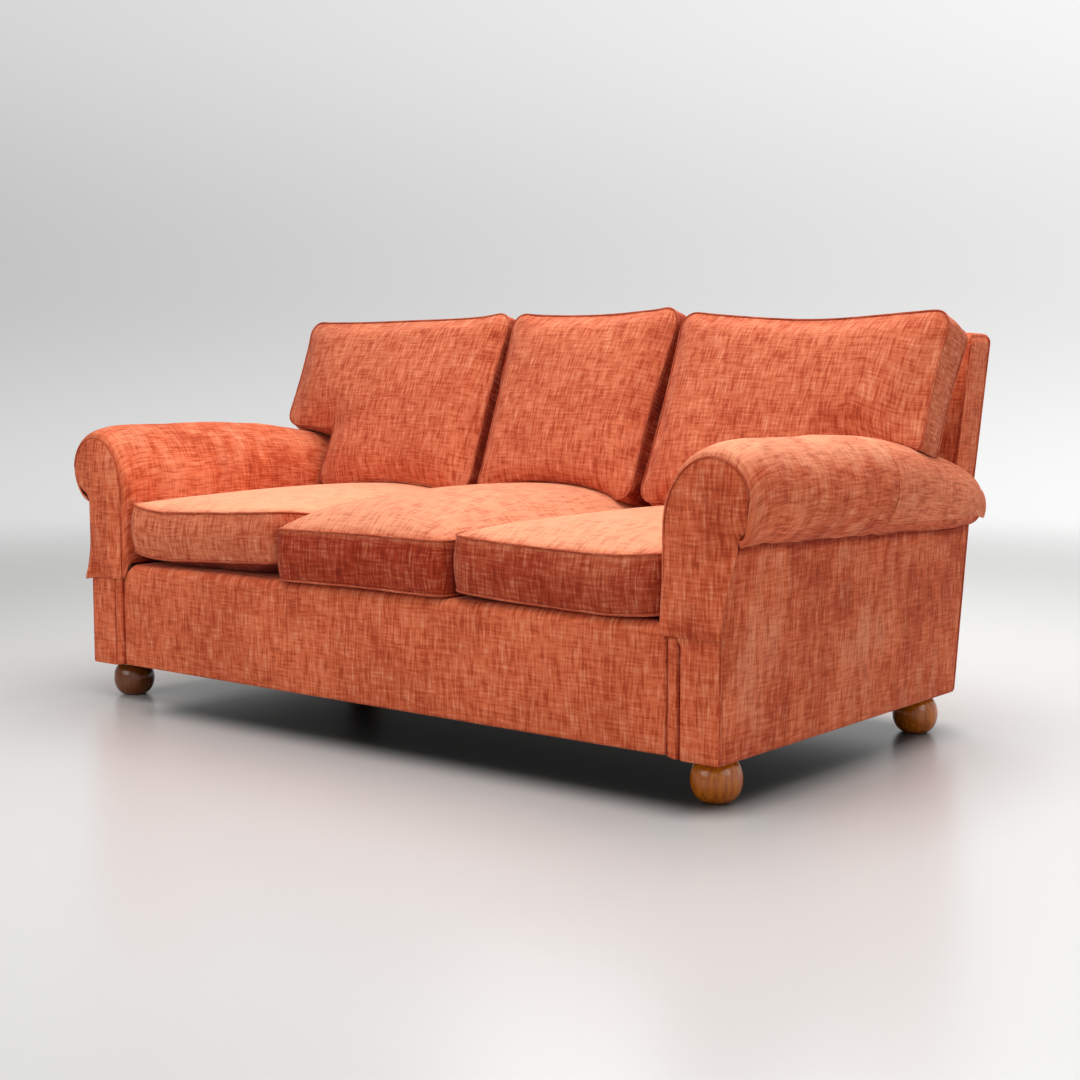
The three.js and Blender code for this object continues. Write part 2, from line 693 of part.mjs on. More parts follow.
// The padded front border turns back over the front rail; the deck lies behind it
const borderFront = frontY + borderRecess;
const borderBack = boardBack;
const lipBack = borderBack + borderLipDepth;
const borderSide = stripInner - gap;
const borderBottom = upholsteryBottom + borderBottomLift;
const borderOutline = [
  [borderFront, borderBottom], [borderBack, borderBottom], [borderBack, deckBottom], [lipBack, deckBottom],
  [lipBack, deckHeight],
];
for (let i = 0; i <= edgeSteps; i += 1) {
  const angle = radians(90 + (90 * i) / edgeSteps);
  const y = borderFront + borderTopRadius + borderTopRadius * Math.cos(angle);
  borderOutline.push([y, deckHeight - borderTopRadius + borderTopRadius * Math.sin(angle)]);
}
add("front_border", acrossX(borderOutline, -borderSide, borderSide), finish.fabric);
const deckRear = backLine(deckHeight) - padFront - gap;
add("seat_deck",
  box(-borderSide, borderSide, lipBack + gap, deckRear, deckBottom, deckHeight), finish.lining);

// The back's upholstery: inside back with its rolled top, outside back, and a facing on each side
const facingTop = backHeight - backTopDrop;
const insideBack = [
  [backLine(deckHeight) - padFront - gap, deckHeight + gap],
  [backLine(backKneeHeight) - padFront - gap, backKneeHeight],
  [backLine(frameTop) - padFront - gap, frameTop + gap], [backLine(frameTop) - padBack, frameTop + gap],
  [backLine(facingTop) - padBack, facingTop], [backLine(backHeight) - padBack - backTopDrop, backHeight],
];
for (let i = 0; i <= edgeSteps; i += 1) {
  const angle = radians(90 + (90 * i) / edgeSteps);
  const z = backHeight - insideBackTopRadius + insideBackTopRadius * Math.sin(angle);
  insideBack.push([backLine(z) - backThickness + insideBackTopRadius * (1 + Math.cos(angle)), z]);
}
insideBack.push([backLine(backKneeHeight) - backThickness, backKneeHeight]);
insideBack.push([backLine(deckHeight) - backThickness, deckHeight + gap]);
let insideBackPad = solid(acrossX(insideBack, -frameSide, frameSide));
for (const { sign } of sides) {
  const [x0, x1] = span(sign, padInner + armPadThickness, halfWidth + cutOverrun);
  const railTop = Math.max(creaseHeightFront, creaseHeightRear) + armTopRailHeight + gap;
  insideBackPad = insideBackPad.subtract(solid(box(x0, x1, frontY, baseDepth, 0, railTop)));
}
add("inside_back", insideBackPad, finish.fabric);
add("outside_back",
  rakedPost(-halfWidth, halfWidth, 0, outsideBackThickness, upholsteryBottom, facingTop), finish.fabric);

for (const { name, sign } of sides) {
  const [x0, x1] = span(sign, halfWidth - outsidePanelThickness, halfWidth);
  const seamRear = backLine(creaseHeightRear) - padBack;
  const seamFront = backLine(creaseHeightRear) - backThickness;
  const shoulder = backHeight - insideBackTopRadius;
  add(`${name}_back_facing`, acrossX([
    ...rakedLine(padBack, creaseLine(seamRear) + gap, facingTop),
    [backLine(facingTop) - backThickness + insideBackTopRadius, facingTop],
    ...rakedLine(backThickness, creaseLine(seamFront) + gap, shoulder).reverse(),
  ], x0, x1), finish.fabric);

  const panelFront = frontY + facingThickness + gap;
  add(`${name}_outside_arm`, acrossX([
    [panelFront, upholsteryBottom], [backLine(upholsteryBottom) - padBack, upholsteryBottom],
    [seamRear, creaseLine(seamRear) - gap], [panelFront, creaseLine(panelFront) - gap],
  ], x0, x1), finish.fabric);
}

// Arms: the facing, the padded roll and the slip-on cover
const backCut = backRoom(gap);
const arms = sides.map(({ name, sign }) => {
  const face = rollLine(armStationShares[0], frontY, 0, deckHeight + gap);
  const facingOutline = [
    [stripInner, upholsteryBottom + facingStripSlope], [stripInner, deckHeight + gap], ...face.line,
    [halfWidth, upholsteryBottom], [stripInner + facingStripWidth, upholsteryBottom],
  ];
  const faceLine = facingOutline.map(([x, z]) => [sign * x, z]);
  const facing = solid(acrossY(faceLine, frontY, frontY + facingThickness));
  const [s0, s1] = span(sign, stripInner - gap, stripInner + facingStripWidth);
  const recessTop = armCoverFrontHem - gap;
  const recess = box(s0, s1, frontY - cutOverrun, frontY + facingStripRecess, 0, recessTop);
  add(`${name}_arm_facing`, facing.subtract(solid(recess)), finish.fabric);

  const cavityInner = padInner + armPadThickness;
  const cavityTop = armTopRailHeight + gap;
  const padFoot = deckHeight + gap;
  const padded = armLoft(sign, {
    spread: 0, footZ: padFoot, setBack: facingThickness + gap, tail: 0,
    closing: (crease) => [
      [frameSide, crease + gap], [frameSide, crease + cavityTop], [cavityInner, crease + cavityTop],
      [cavityInner, padFoot],
    ],
  });
  const boardRoom = solid(frontBoard(sign, gap, frontY));
  add(`${name}_arm_padding`, solid(padded).subtract(backCut).subtract(boardRoom), finish.fabric);

  const outer = armLoft(sign, {
    spread: armCoverThickness, footZ: armCoverInsideHem, setBack: -armCoverThickness - gap,
    tail: armCoverTailLength, closing: () => [[halfWidth, armCoverInsideHem]],
  });
  const [c0, c1] = span(sign, innerArm, halfWidth + armCoverThickness);
  const apronFront = frontY - armCoverThickness - gap;
  const apron = box(c0, c1, apronFront, frontY, armCoverFrontHem, creaseHeightFront);
  const innerFoot = armCoverFrontHem - cutOverrun;
  const inner = armLoft(sign, {
    spread: gap, footZ: innerFoot, setBack: -gap, tail: armCoverTailLength + cutOverrun,
    closing: () => [[halfWidth + gap, armCoverFrontHem], [halfWidth + gap, innerFoot]],
  });
  return { name, outer, apron, inner };
});
for (const { name, outer, apron, inner } of arms) {
  const cover = solid(outer).add(solid(apron)).subtract(solid(inner)).subtract(backCut);
  add(`${name}_arm_cover`, cover, finish.fabric);
}

// Seat cushions on the deck, back cushions on them, each back cushion pressed to what it rests on
const armRoom = arms.map(({ outer }) => solid(outer).translate([0, 0, gap]));
seatForms.forEach((form, index) => {
  const edge0 = seatEdges[index] + cushionGap;
  const edge1 = seatEdges[index + 1] - cushionGap;
  const seat = seatCushion(edge0, edge1, form);
  add(`${form.name}_seat_cushion`, seat, finish.fabric);

  const back0 = index === 0 ? -wingReach : edge0;
  const back1 = index === seatForms.length - 1 ? wingReach : edge1;
  let cushion = looseBackCushion(back0, back1, backForms[index]);
  cushion = cushion.subtract(seat.translate([0, 0, gap])).subtract(backCut);
  for (const room of armRoom) cushion = cushion.subtract(room);
  add(`${form.name}_back_cushion`, cushion, finish.fabric);
});

// The origin is under the middle of the sofa's box, on the floor
const bounds = new THREE.Box3().setFromObject(sofa);
const middle = bounds.getCenter(new THREE.Vector3());
for (const mesh of sofa.children) mesh.position.set(-middle.x, -middle.y, 0);

export default sofa;
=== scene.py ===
"""An english roll arm sofa in terracotta chenille, dressed and lit in a pale studio.

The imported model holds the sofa's frame and the room that every soft part takes. This script builds the
upholstery over it: boxed cushions blown up as cloth, slip-on arm covers, padded panels and turned feet.
Metres, +Z up, front towards -Y, left towards -X.
"""

import logging
import math
from collections.abc import Callable, Iterable, Sequence
from dataclasses import dataclass, field
from enum import Enum
from functools import lru_cache

import bmesh
import bpy
import numpy as np
from mathutils import Matrix, Vector, noise
from mathutils.bvhtree import BVHTree


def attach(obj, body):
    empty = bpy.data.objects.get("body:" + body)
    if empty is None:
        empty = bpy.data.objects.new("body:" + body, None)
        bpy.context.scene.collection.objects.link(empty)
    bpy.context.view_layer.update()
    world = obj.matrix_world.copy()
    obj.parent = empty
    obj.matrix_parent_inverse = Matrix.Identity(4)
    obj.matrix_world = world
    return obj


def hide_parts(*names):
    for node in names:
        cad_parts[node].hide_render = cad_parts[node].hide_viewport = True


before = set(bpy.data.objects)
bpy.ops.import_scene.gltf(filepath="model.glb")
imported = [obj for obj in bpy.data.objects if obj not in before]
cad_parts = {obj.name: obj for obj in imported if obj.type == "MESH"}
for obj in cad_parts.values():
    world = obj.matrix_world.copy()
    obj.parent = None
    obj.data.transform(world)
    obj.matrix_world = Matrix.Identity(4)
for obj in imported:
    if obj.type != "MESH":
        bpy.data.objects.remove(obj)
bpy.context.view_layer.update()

UV_NAME = "cloth"
# Mesh layer of painted light and shade, darker below zero and paler above it, with rubbed wear added to it.
LIGHT_AND_WEAR_LAYER = "painted_light_and_wear"
# Mesh layer of painted shade, laid on a foot that the sofa's shadow falls over.
FOOT_SHADE_LAYER = "stain_and_shade"
CREASE_NAME = "crease_edge"
MERGE_DISTANCE = 0.00001
SHARP_ANGLE = 0.9
SEARCH_REACH = 0.12
WELT_SIDES = 6
# Painted shade on every welt, standing in for the shadow along its seam.
WELT_PAINTED_SHADE = -0.5
CROWDING = 1.6
STREAK_WIDTH, STREAK_LENGTHENING = 0.034, 0.3
PATCH_WIDTH = 0.13
BLACK = (0, 0, 0, 1)
SIDES = (("left", -1), ("right", 1))
REARWARD = Vector((0, 1, 0))
STRAIGHT = ((0, 0), (1, 0))
CLOTH_SETTINGS = {
    "quality": 5, "mass": 0.25, "air_damping": 2.0, "tension_stiffness": 12, "compression_stiffness": 12,
    "shear_stiffness": 4, "bending_stiffness": 0.25, "use_pressure": True, "uniform_pressure_force": 4.0,
}

log = logging.getLogger("sofa")

Mesh = bmesh.types.BMesh
Piece = bpy.types.Object
Socket = bpy.types.NodeSocket
Place = Callable[[float, float], Vector]
Stations = Sequence[tuple[float, float]]
Outline = list[tuple[float, float]]
# How far apart the swells of a surface are, and how high they rise.
Waves = tuple[float, float]


class Held(Enum):
    """How a sheet of cloth is kept in its place."""

    DRAPED = "draped"
    HUNG = "hung"
    STRETCHED = "stretched"


class Graph:
    """Adds shader nodes to one node tree and links them by name."""

    def __init__(self, tree: bpy.types.NodeTree) -> None:
        """Starts on an empty tree.

        Args:
            tree: The node tree to fill.
        """
        self.tree = tree
        self.tree.nodes.clear()

    def node(self, kind: str, inputs: dict | None = None, **settings: object) -> bpy.types.Node:
        """Adds one node.

        Args:
            kind: The node's type name, without the word that all of them start with.
            inputs: Socket name or number to a value, or to the output socket that feeds it.
            settings: Attributes to set on the node first.

        Returns:
            The new node.
        """
        made = self.tree.nodes.new(kind if kind.startswith("NodeGroup") else f"ShaderNode{kind}")
        for name, value in settings.items():
            setattr(made, name, value)
        for key, value in (inputs or {}).items():
            if isinstance(value, Socket):
                self.tree.links.new(value, made.inputs[key])
            else:
                made.inputs[key].default_value = value
        return made

    def math(self, operation: str, *values: object, clamp: bool = False) -> Socket:
        """Adds a Math node and returns its result."""
        return self.node("Math", dict(enumerate(values)), operation=operation, use_clamp=clamp).outputs[0]

    def times(self, first: object, second: object, clamp: bool = False) -> Socket:
        """Adds a product and returns it."""
        return self.math("MULTIPLY", first, second, clamp=clamp)

    def vector(self, operation: str, *values: object) -> Sequence[Socket]:
        """Adds a Vector Math node and returns its vector and its value."""
        return self.node("VectorMath", dict(enumerate(values)), operation=operation).outputs

    def ramp(self, value: object, low: float, high: float, start: float = 0, end: float = 1) -> Socket:
        """Adds a smooth Map Range node and returns its result."""
        inputs = {"Value": value, "From Min": low, "From Max": high, "To Min": start, "To Max": end}
        return self.node("MapRange", inputs, interpolation_type="SMOOTHSTEP").outputs[0]

    def mix(self, factor: object, first: object, second: object) -> Socket:
        """Adds a colour Mix node and returns its result."""
        return self.node("Mix", {0: factor, 6: first, 7: second}, data_type="RGBA").outputs[2]

    def noise(self, place: object, scale: float, detail: float) -> Socket:
        """Adds a Noise Texture node and returns its value."""
        return self.node("TexNoise", {"Vector": place, "Scale": scale, "Detail": detail}).outputs[0]

    def shared(self, group: bpy.types.NodeTree, inputs: dict) -> Sequence[Socket]:
        """Adds a shared group and returns its outputs."""
        return self.node("Group", inputs, node_tree=group).outputs

    def own_place(self) -> Socket:
        """Adds the coordinates in the piece's own space."""
        return self.node("TexCoord").outputs["Object"]

    def layer(self, name: str) -> Socket:
        """Adds the value of a mesh layer, which is zero where a piece has none."""
        return self.node("Attribute", attribute_name=name).outputs["Fac"]

    def bump(self, height: object, strength: float, distance: float) -> Socket:
        """Adds a Bump node and returns its normal."""
        return self.node("Bump", {"Height": height, "Strength": strength, "Distance": distance}).outputs[0]

    def show(self, shader: bpy.types.Node, kind: str = "Material") -> None:
        """Adds the output node and feeds it a shader."""
        self.node(f"Output{kind}", {0: shader.outputs[0]})


def shader_group(name: str, inputs: dict, draw: Callable) -> bpy.types.NodeTree:
    """Makes a shader node group.

    Args:
        name: The group's name.
        inputs: Socket name to its default value, or to None for a vector.
        draw: Adds the nodes to a Graph and returns output name to socket.

    Returns:
        The group's tree.
    """
    tree = bpy.data.node_groups.new(name, "ShaderNodeTree")
    for socket, default in inputs.items():
        kind = "NodeSocketVector" if default is None else "NodeSocketFloat"
        made = tree.interface.new_socket(socket, in_out="INPUT", socket_type=kind)
        if default is not None:
            made.default_value = default
    graph = Graph(tree)
    results = draw(graph, graph.node("NodeGroupInput").outputs)
    for socket in results:
        tree.interface.new_socket(socket, in_out="OUTPUT", socket_type="NodeSocketFloat")
    graph.node("NodeGroupOutput", results)
    return tree


def draw_weave(graph: Graph, given: Sequence[Socket]) -> dict:
    """Draws a slubby weave: thick and thin yarns both ways, from a cloth's own coordinates."""
    across, along = graph.node("SeparateXYZ", {0: given["Cloth"]}).outputs[:2]
    width, length, yarn = given["Slub Width"], given["Slub Length"], given["Yarn"]

    def streaks(width: object, length: object, first: object, second: object, offset: float) -> Socket:
        """Returns noise drawn out along one set of yarns."""
        spot = {0: graph.math("DIVIDE", first, width), 1: graph.math("DIVIDE", second, length), 2: offset}
        return graph.noise(graph.node("CombineXYZ", spot).outputs[0], 1.0, 4.0)

    warp = streaks(width, length, across, along, 0.0)
    weft = streaks(width, length, along, across, 7.3)
    broad = streaks(graph.times(width, 3.4), graph.times(length, 1.7), across, along, 3.1)
    crossed = graph.math("ADD", graph.times(warp, 1.1), graph.times(weft, 0.75))
    tone = graph.math("ADD", crossed, graph.times(broad, 0.65))
    wobble = graph.times(warp, 2.5)
    threads = []
    for run in (across, along):
        turns = graph.times(graph.math("DIVIDE", run, yarn), math.tau)
        threads.append(graph.math("SINE", graph.math("ADD", turns, wobble)))
    yarns = graph.times(graph.math("MAXIMUM", *threads), 0.22)
    relief = graph.math("MULTIPLY_ADD", graph.math("ADD", warp, weft), 1.6, yarns)
    return {"Pale": graph.ramp(tone, 1.22, 1.66), "Deep": graph.ramp(tone, 1.27, 1.01), "Relief": relief}


def scaled(graph: Graph, place: Socket, size: Socket) -> Socket:
    """Returns a place measured in steps of a size."""
    steps = {0: place, "Scale": graph.math("DIVIDE", 1.0, size)}
    return graph.node("VectorMath", steps, operation="SCALE").outputs[0]


def draw_clouds(graph: Graph, given: Sequence[Socket]) -> dict:
    """Draws soft clouds of wear and pile shading in the piece's own space."""
    spot = scaled(graph, given["Place"], given["Size"])
    return {"Cloud": graph.ramp(graph.noise(spot, 1.0, 4.0), 0.34, 0.66)}


def draw_grain(graph: Graph, given: Sequence[Socket]) -> dict:
    """Draws straight wood grain along Z in the piece's own space."""
    spot = scaled(graph, graph.vector("MULTIPLY", given["Place"], (1, 1, 0.09))[0], given["Ring"])
    return {"Grain": graph.ramp(graph.noise(spot, 1.0, 4.0), 0.3, 0.7),
            "Pores": graph.ramp(graph.noise(spot, 4.5, 1.0), 0.62, 0.74)}


class Effects:
    """The shared shader groups, each built once."""

    def __init__(self) -> None:
        """Builds every group."""
        yarns = {"Cloth": None, "Yarn": 0.0026, "Slub Width": 0.005, "Slub Length": 0.05}
        self.weave = shader_group("slubby weave", yarns, draw_weave)
        self.clouds = shader_group("pile clouds", {"Place": None, "Size": 0.1}, draw_clouds)
        self.grain = shader_group("straight grain", {"Place": None, "Ring": 0.006}, draw_grain)


@dataclass(frozen=True)
class Finish:
    """A surface that pieces are given by its name."""

    name: str

    def surface(self, graph: Graph, effects: Effects) -> dict:
        """Adds the finish's own nodes and returns what its shader is fed."""
        raise NotImplementedError

    def material(self, effects: Effects) -> bpy.types.Material:
        """Builds the material from the shared effects."""
        made = bpy.data.materials.new(self.name)
        made.use_nodes = True
        graph = Graph(made.node_tree)
        graph.show(graph.node("BsdfPrincipled", self.surface(graph, effects)))
        return made


@dataclass(frozen=True)
class Chenille(Finish):
    """A slubby chenille, darker or paler from panel to panel with painted light and shade and with rubbed
    wear.
    """

    # Body colour; deep and pale slubs, which painted shade and painted light also pull the body towards; dip,
    # the colour that deep streaks sink to under strong painted shade.
    body: tuple = (0.715, 0.148, 0.057, 1)
    deep: tuple = (0.34, 0.03, 0.008, 1)
    pale: tuple = (0.93, 0.41, 0.23, 1)
    dip: tuple = (0.15, 0.01, 0.003, 1)
    yarn: float = 0.0027
    slub_width: float = 0.0046
    slub_length: float = 0.042
    pale_share: float = 0.55
    pale_loss: float = -0.45
    deep_share: float = 0.66
    deep_loss: float = -0.65
    cloud_size: float = 0.15
    cloud_share: float = 0.3
    sheen: float = 0.1
    relief: float = 0.001

    def surface(self, graph: Graph, effects: Effects) -> dict:
        """Lays pale and deep slubs over clouds of wear; a piece's layer of painted light, painted shade and
        wear darkens or pales both.
        """
        cloth = {"Cloth": graph.node("UVMap", uv_map=UV_NAME).outputs[0], "Yarn": self.yarn,
                 "Slub Width": self.slub_width, "Slub Length": self.slub_length}
        weave = graph.shared(effects.weave, cloth)
        wear = {"Place": graph.own_place(), "Size": self.cloud_size}
        cloud = graph.shared(effects.clouds, wear)["Cloud"]
        painted_light_and_wear = graph.layer(LIGHT_AND_WEAR_LAYER)
        painted_shade_and_dark_wear = graph.times(painted_light_and_wear, -1.0, clamp=True)
        painted_light_and_pale_wear = graph.times(painted_light_and_wear, 1.0, clamp=True)
        # Clouds of wear and painted shade darken the body; painted light pales it.
        shade = graph.math("ADD", graph.times(cloud, self.cloud_share), painted_shade_and_dark_wear, clamp=True)
        lifted = graph.mix(painted_light_and_pale_wear, graph.mix(shade, self.body, self.deep), self.pale)
        calm = graph.math("MULTIPLY_ADD", painted_light_and_pale_wear, self.deep_loss * self.deep_share, self.deep_share)
        painted_shade_streaks = graph.mix(painted_shade_and_dark_wear, self.deep, self.dip)
        streaked = graph.mix(graph.times(weave["Deep"], calm), lifted, painted_shade_streaks)
        still = graph.math("MULTIPLY_ADD", painted_shade_and_dark_wear, self.pale_loss * self.pale_share, self.pale_share)
        return {
            "Base Color": graph.mix(graph.times(weave["Pale"], still), streaked, self.pale),
            "Roughness": 0.95, "Specular IOR Level": 0.15, "Sheen Weight": self.sheen,
            "Sheen Roughness": 0.45, "Sheen Tint": (1.0, 0.72, 0.58, 1),
            "Normal": graph.bump(weave["Relief"], 0.8, self.relief),
        }


@dataclass(frozen=True)
class Wood(Finish):
    """Straight-grained hardwood; a piece's layer of painted shade darkens it."""

    light: tuple
    dark: tuple
    ring: float = 0.006
    roughness: float = 0.5
    # The colour of the painted shade.
    painted_shade_colour: tuple = (0.085, 0.019, 0.003, 1)

    def surface(self, graph: Graph, effects: Effects) -> dict:
        """Lays the grain, its pores and the painted shade over one another."""
        timber = {"Place": graph.own_place(), "Ring": self.ring}
        grain, pores = graph.shared(effects.grain, timber)[:2]
        bare = graph.mix(graph.times(pores, 0.45), graph.mix(grain, self.light, self.dark), self.dark)
        return {
            "Base Color": graph.mix(graph.layer(FOOT_SHADE_LAYER), bare, self.painted_shade_colour),
            "Roughness": graph.ramp(grain, 0.0, 1.0, self.roughness - 0.06, self.roughness + 0.08),
            "Normal": graph.bump(pores, 0.3, 0.0003),
        }


@dataclass(frozen=True)
class Lining(Finish):
    """A thin plain-woven lining cloth."""

    body: tuple
    deep: tuple
    yarn: float = 0.0012

    def surface(self, graph: Graph, effects: Effects) -> dict:
        """Lays the weave's darker yarns over the cloth's colour."""
        cloth = {"Cloth": graph.node("UVMap", uv_map=UV_NAME).outputs[0], "Yarn": self.yarn,
                 "Slub Width": self.yarn * 1.5}
        weave = graph.shared(effects.weave, cloth)
        return {
            "Base Color": graph.mix(graph.times(weave["Deep"], 0.5), self.body, self.deep),
            "Roughness": 0.9, "Specular IOR Level": 0.2,
            "Normal": graph.bump(weave["Relief"], 0.4, 0.0004),
        }


@dataclass(frozen=True)
class Steel(Finish):
    """Drawn spring wire with a film of oil."""

    colour: tuple = (0.34, 0.35, 0.37, 1)
    # The colour of the oil's stains.
    stain_and_shade: tuple = (0.12, 0.09, 0.07, 1)

    def surface(self, graph: Graph, effects: Effects) -> dict:
        """Lays clouds of oil over the steel."""
        oil = {"Place": graph.own_place(), "Size": 0.02}
        cloud = graph.shared(effects.clouds, oil)["Cloud"]
        return {"Base Color": graph.mix(cloud, self.colour, self.stain_and_shade), "Metallic": 1.0, "Roughness": 0.38}


FINISHES = (
    Chenille("upholstery_fabric"),
    Chenille("cushion_fabric", body=(0.66, 0.166, 0.075, 1), deep_share=0.7, cloud_share=0.24),
    Wood("varnished_wood", (0.56, 0.155, 0.005, 1), (0.34, 0.07, 0.002, 1), roughness=0.16),
    Wood("frame_hardwood", (0.55, 0.36, 0.19, 1), (0.4, 0.23, 0.11, 1), roughness=0.6),
    Steel("spring_steel"),
    Lining("deck_cloth", (0.42, 0.12, 0.06, 1), (0.25, 0.06, 0.03, 1), yarn=0.0018),
    Lining("lining_cloth", (0.012, 0.011, 0.01, 1), (0.004, 0.004, 0.004, 1)),
)


def put_in_scene(name: str, data: bpy.types.ID) -> Piece:
    """Makes an object of some data and puts it in the scene."""
    made = bpy.data.objects.new(name, data)
    bpy.context.scene.collection.objects.link(made)
    return made


def mesh_object(name: str, mesh: Mesh) -> Piece:
    """Makes an object of a finished shape, which is freed."""
    data = bpy.data.meshes.new(name)
    mesh.to_mesh(data)
    mesh.free()
    return put_in_scene(name, data)


@dataclass
class Workshop:
    """Turns finished meshes into pieces of the sofa."""

    materials: dict[str, bpy.types.Material]

    def issue(
        self,
        mesh: Mesh,
        name: str,
        slot: str = "upholstery_fabric",
        body: str = "frame",
        replaces: Sequence[str] = (),
        thickness: float = 0.0,
        rounds: int = 1,
        crisp: float = 0.0,
    ) -> Piece:
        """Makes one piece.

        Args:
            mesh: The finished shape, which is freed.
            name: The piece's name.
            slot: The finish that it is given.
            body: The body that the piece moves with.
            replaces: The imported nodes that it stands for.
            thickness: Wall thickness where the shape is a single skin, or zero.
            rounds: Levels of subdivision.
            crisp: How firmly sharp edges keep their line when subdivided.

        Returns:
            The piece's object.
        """
        if crisp:
            firm = mesh.edges.layers.float.get(CREASE_NAME) or mesh.edges.layers.float.new(CREASE_NAME)
            for edge in mesh.edges:
                if edge.calc_face_angle(0) > SHARP_ANGLE:
                    edge[firm] = crisp
        piece = mesh_object(name, mesh)
        piece.data.polygons.foreach_set("use_smooth", [True] * len(piece.data.polygons))
        piece.data.materials.append(self.materials[slot])
        if thickness:
            wall = piece.modifiers.new("thickness", "SOLIDIFY")
            wall.thickness, wall.offset, wall.edge_crease_rim = thickness, -1, 0.6
        if rounds:
            rounded = piece.modifiers.new("smooth", "SUBSURF")
            rounded.levels = rounded.render_levels = rounds
        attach(piece, body)
        if replaces:
            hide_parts(*replaces)
        log.info("%s rides on %s", name, body)
        return piece


def lerp(first: float, last: float, share: float) -> float:
    """Returns the value a share of the way from first to last."""
    return first + (last - first) * share


def clamped(share: float) -> float:
    """Returns a share held between 0 and 1."""
    return min(max(share, 0.0), 1.0)


def smooth(share: float) -> float:
    """Returns a share eased at both ends, held between 0 and 1."""
    kept = clamped(share)
    return kept * kept * (3 - 2 * kept)


def uneven(point: Vector, size: float, amount: float, seed: float = 0.0) -> float:
    """Returns a smooth seeded unevenness at a point.

    Args:
        point: Where it is read, in metres.
        size: How far apart its swells are, in metres.
        amount: Its largest rise, in metres.
        seed: Moves the pattern, so that two pieces differ.
    """
    return amount * noise.noise(point / size + Vector((seed, seed * 1.7, -seed)))


def crowded(share: float, reach: float) -> float:
    """Returns an X from minus to plus a reach, with equal shares closer together towards both ends."""
    side = 2 * share - 1
    return math.copysign(reach * (1 - (1 - min(abs(side), 1)) ** CROWDING), side)


def inward(share: float, steepness: float) -> float:
    """Returns a fade that is 0 at both ends of a run and 1 between them."""
    return smooth(min(share, 1 - share) * steepness)


def paint_light_and_shade(mesh: Mesh, painted_light_and_wear: Callable[[Vector], float]) -> Mesh:
    """Paints light and shade into a mesh's layer, darker below zero and paler above it, from where each
    vertex is.
    """
    pile = mesh.verts.layers.float[LIGHT_AND_WEAR_LAYER]
    for vert in mesh.verts:
        vert[pile] = painted_light_and_wear(vert.co)
    return mesh


def wear(mesh: Mesh, amount: float, seed: float) -> Mesh:
    """Rubs the pile darker and paler in upright streaks and wide patches.

    Args:
        mesh: The mesh whose pile is rubbed.
        amount: How far it goes, at the most.
        seed: Moves the marks, so that two pieces differ.

    Returns:
        The same mesh.
    """
    pile = mesh.verts.layers.float[LIGHT_AND_WEAR_LAYER]
    for vert in mesh.verts:
        x, y, z = vert.co
        vert[pile] += uneven(Vector((x, y, z * STREAK_LENGTHENING)), STREAK_WIDTH, amount, seed)
        vert[pile] += uneven(vert.co, PATCH_WIDTH, amount, seed + 5)
    return mesh


def face_out(mesh: Mesh) -> Mesh:
    """Turns every face of a closed shape outwards."""
    bmesh.ops.recalc_face_normals(mesh, faces=mesh.faces[:])
    return mesh


def merge(mesh: Mesh) -> None:
    """Joins the vertices that lie in one place."""
    bmesh.ops.remove_doubles(mesh, verts=mesh.verts[:], dist=MERGE_DISTANCE)


def fill_holes(mesh: Mesh, wanted: Callable[[Sequence[Vector]], bool]) -> None:
    """Fills the holes between those boundary edges whose two ends are wanted."""
    rim = [edge for edge in mesh.edges if edge.is_boundary and wanted([vert.co for vert in edge.verts])]
    bmesh.ops.holes_fill(mesh, edges=rim, sides=0)


def drop_faces(mesh: Mesh, unwanted: Callable[[Vector], bool]) -> None:
    """Deletes the faces whose middle is unwanted."""
    spare = [face for face in mesh.faces if unwanted(face.calc_center_median())]
    bmesh.ops.delete(mesh, geom=spare, context="FACES")


def flat_grid(columns: int, rows: int) -> Mesh:
    """Makes a grid with its points at whole numbers, and layers for its cloth and pile."""
    mesh = bmesh.new()
    mesh.loops.layers.uv.new(UV_NAME)
    mesh.verts.layers.float.new(LIGHT_AND_WEAR_LAYER)
    bmesh.ops.create_grid(mesh, x_segments=columns, y_segments=rows, size=1)
    for vert in mesh.verts:
        vert.co = (round((vert.co.x + 1) / 2 * columns), round((vert.co.y + 1) / 2 * rows), 0)
    return mesh


def sheet_mesh(
    columns: int, rows: int, place: Place, painted_light_and_wear: float = 0.0, cloth: Callable[[Vector], tuple] | None = None
) -> Mesh:
    """Bends a flat grid to a shape and lays its cloth coordinates along it in metres.

    Args:
        columns: Cells across.
        rows: Cells along.
        place: Gives the point at a share across and a share along.
        painted_light_and_wear: Painted shade below zero and painted light above it, laid on the whole sheet.
        cloth: Gives the cloth coordinates of a point, where they don't follow the grid.

    Returns:
        The bent sheet.
    """
    mesh = flat_grid(columns, rows)
    cells = {vert: (int(vert.co.x), int(vert.co.y)) for vert in mesh.verts}
    points = [[place(i / columns, j / rows) for j in range(rows + 1)] for i in range(columns + 1)]
    across = [[0.0] * (rows + 1) for _ in range(columns + 1)]
    along = [[0.0] * (rows + 1) for _ in range(columns + 1)]
    for i in range(columns + 1):
        for j in range(rows + 1):
            if i:
                across[i][j] = across[i - 1][j] + (points[i][j] - points[i - 1][j]).length
            if j:
                along[i][j] = along[i][j - 1] + (points[i][j] - points[i][j - 1]).length
    for vert, (i, j) in cells.items():
        vert.co = points[i][j]
    uv = mesh.loops.layers.uv[UV_NAME]
    for face in mesh.faces:
        for loop in face.loops:
            i, j = cells[loop.vert]
            middle = across[columns // 2][j]
            loop[uv].uv = cloth(loop.vert.co) if cloth else (across[i][j] - middle, along[i][j])
    return paint_light_and_shade(mesh, lambda point: painted_light_and_wear)


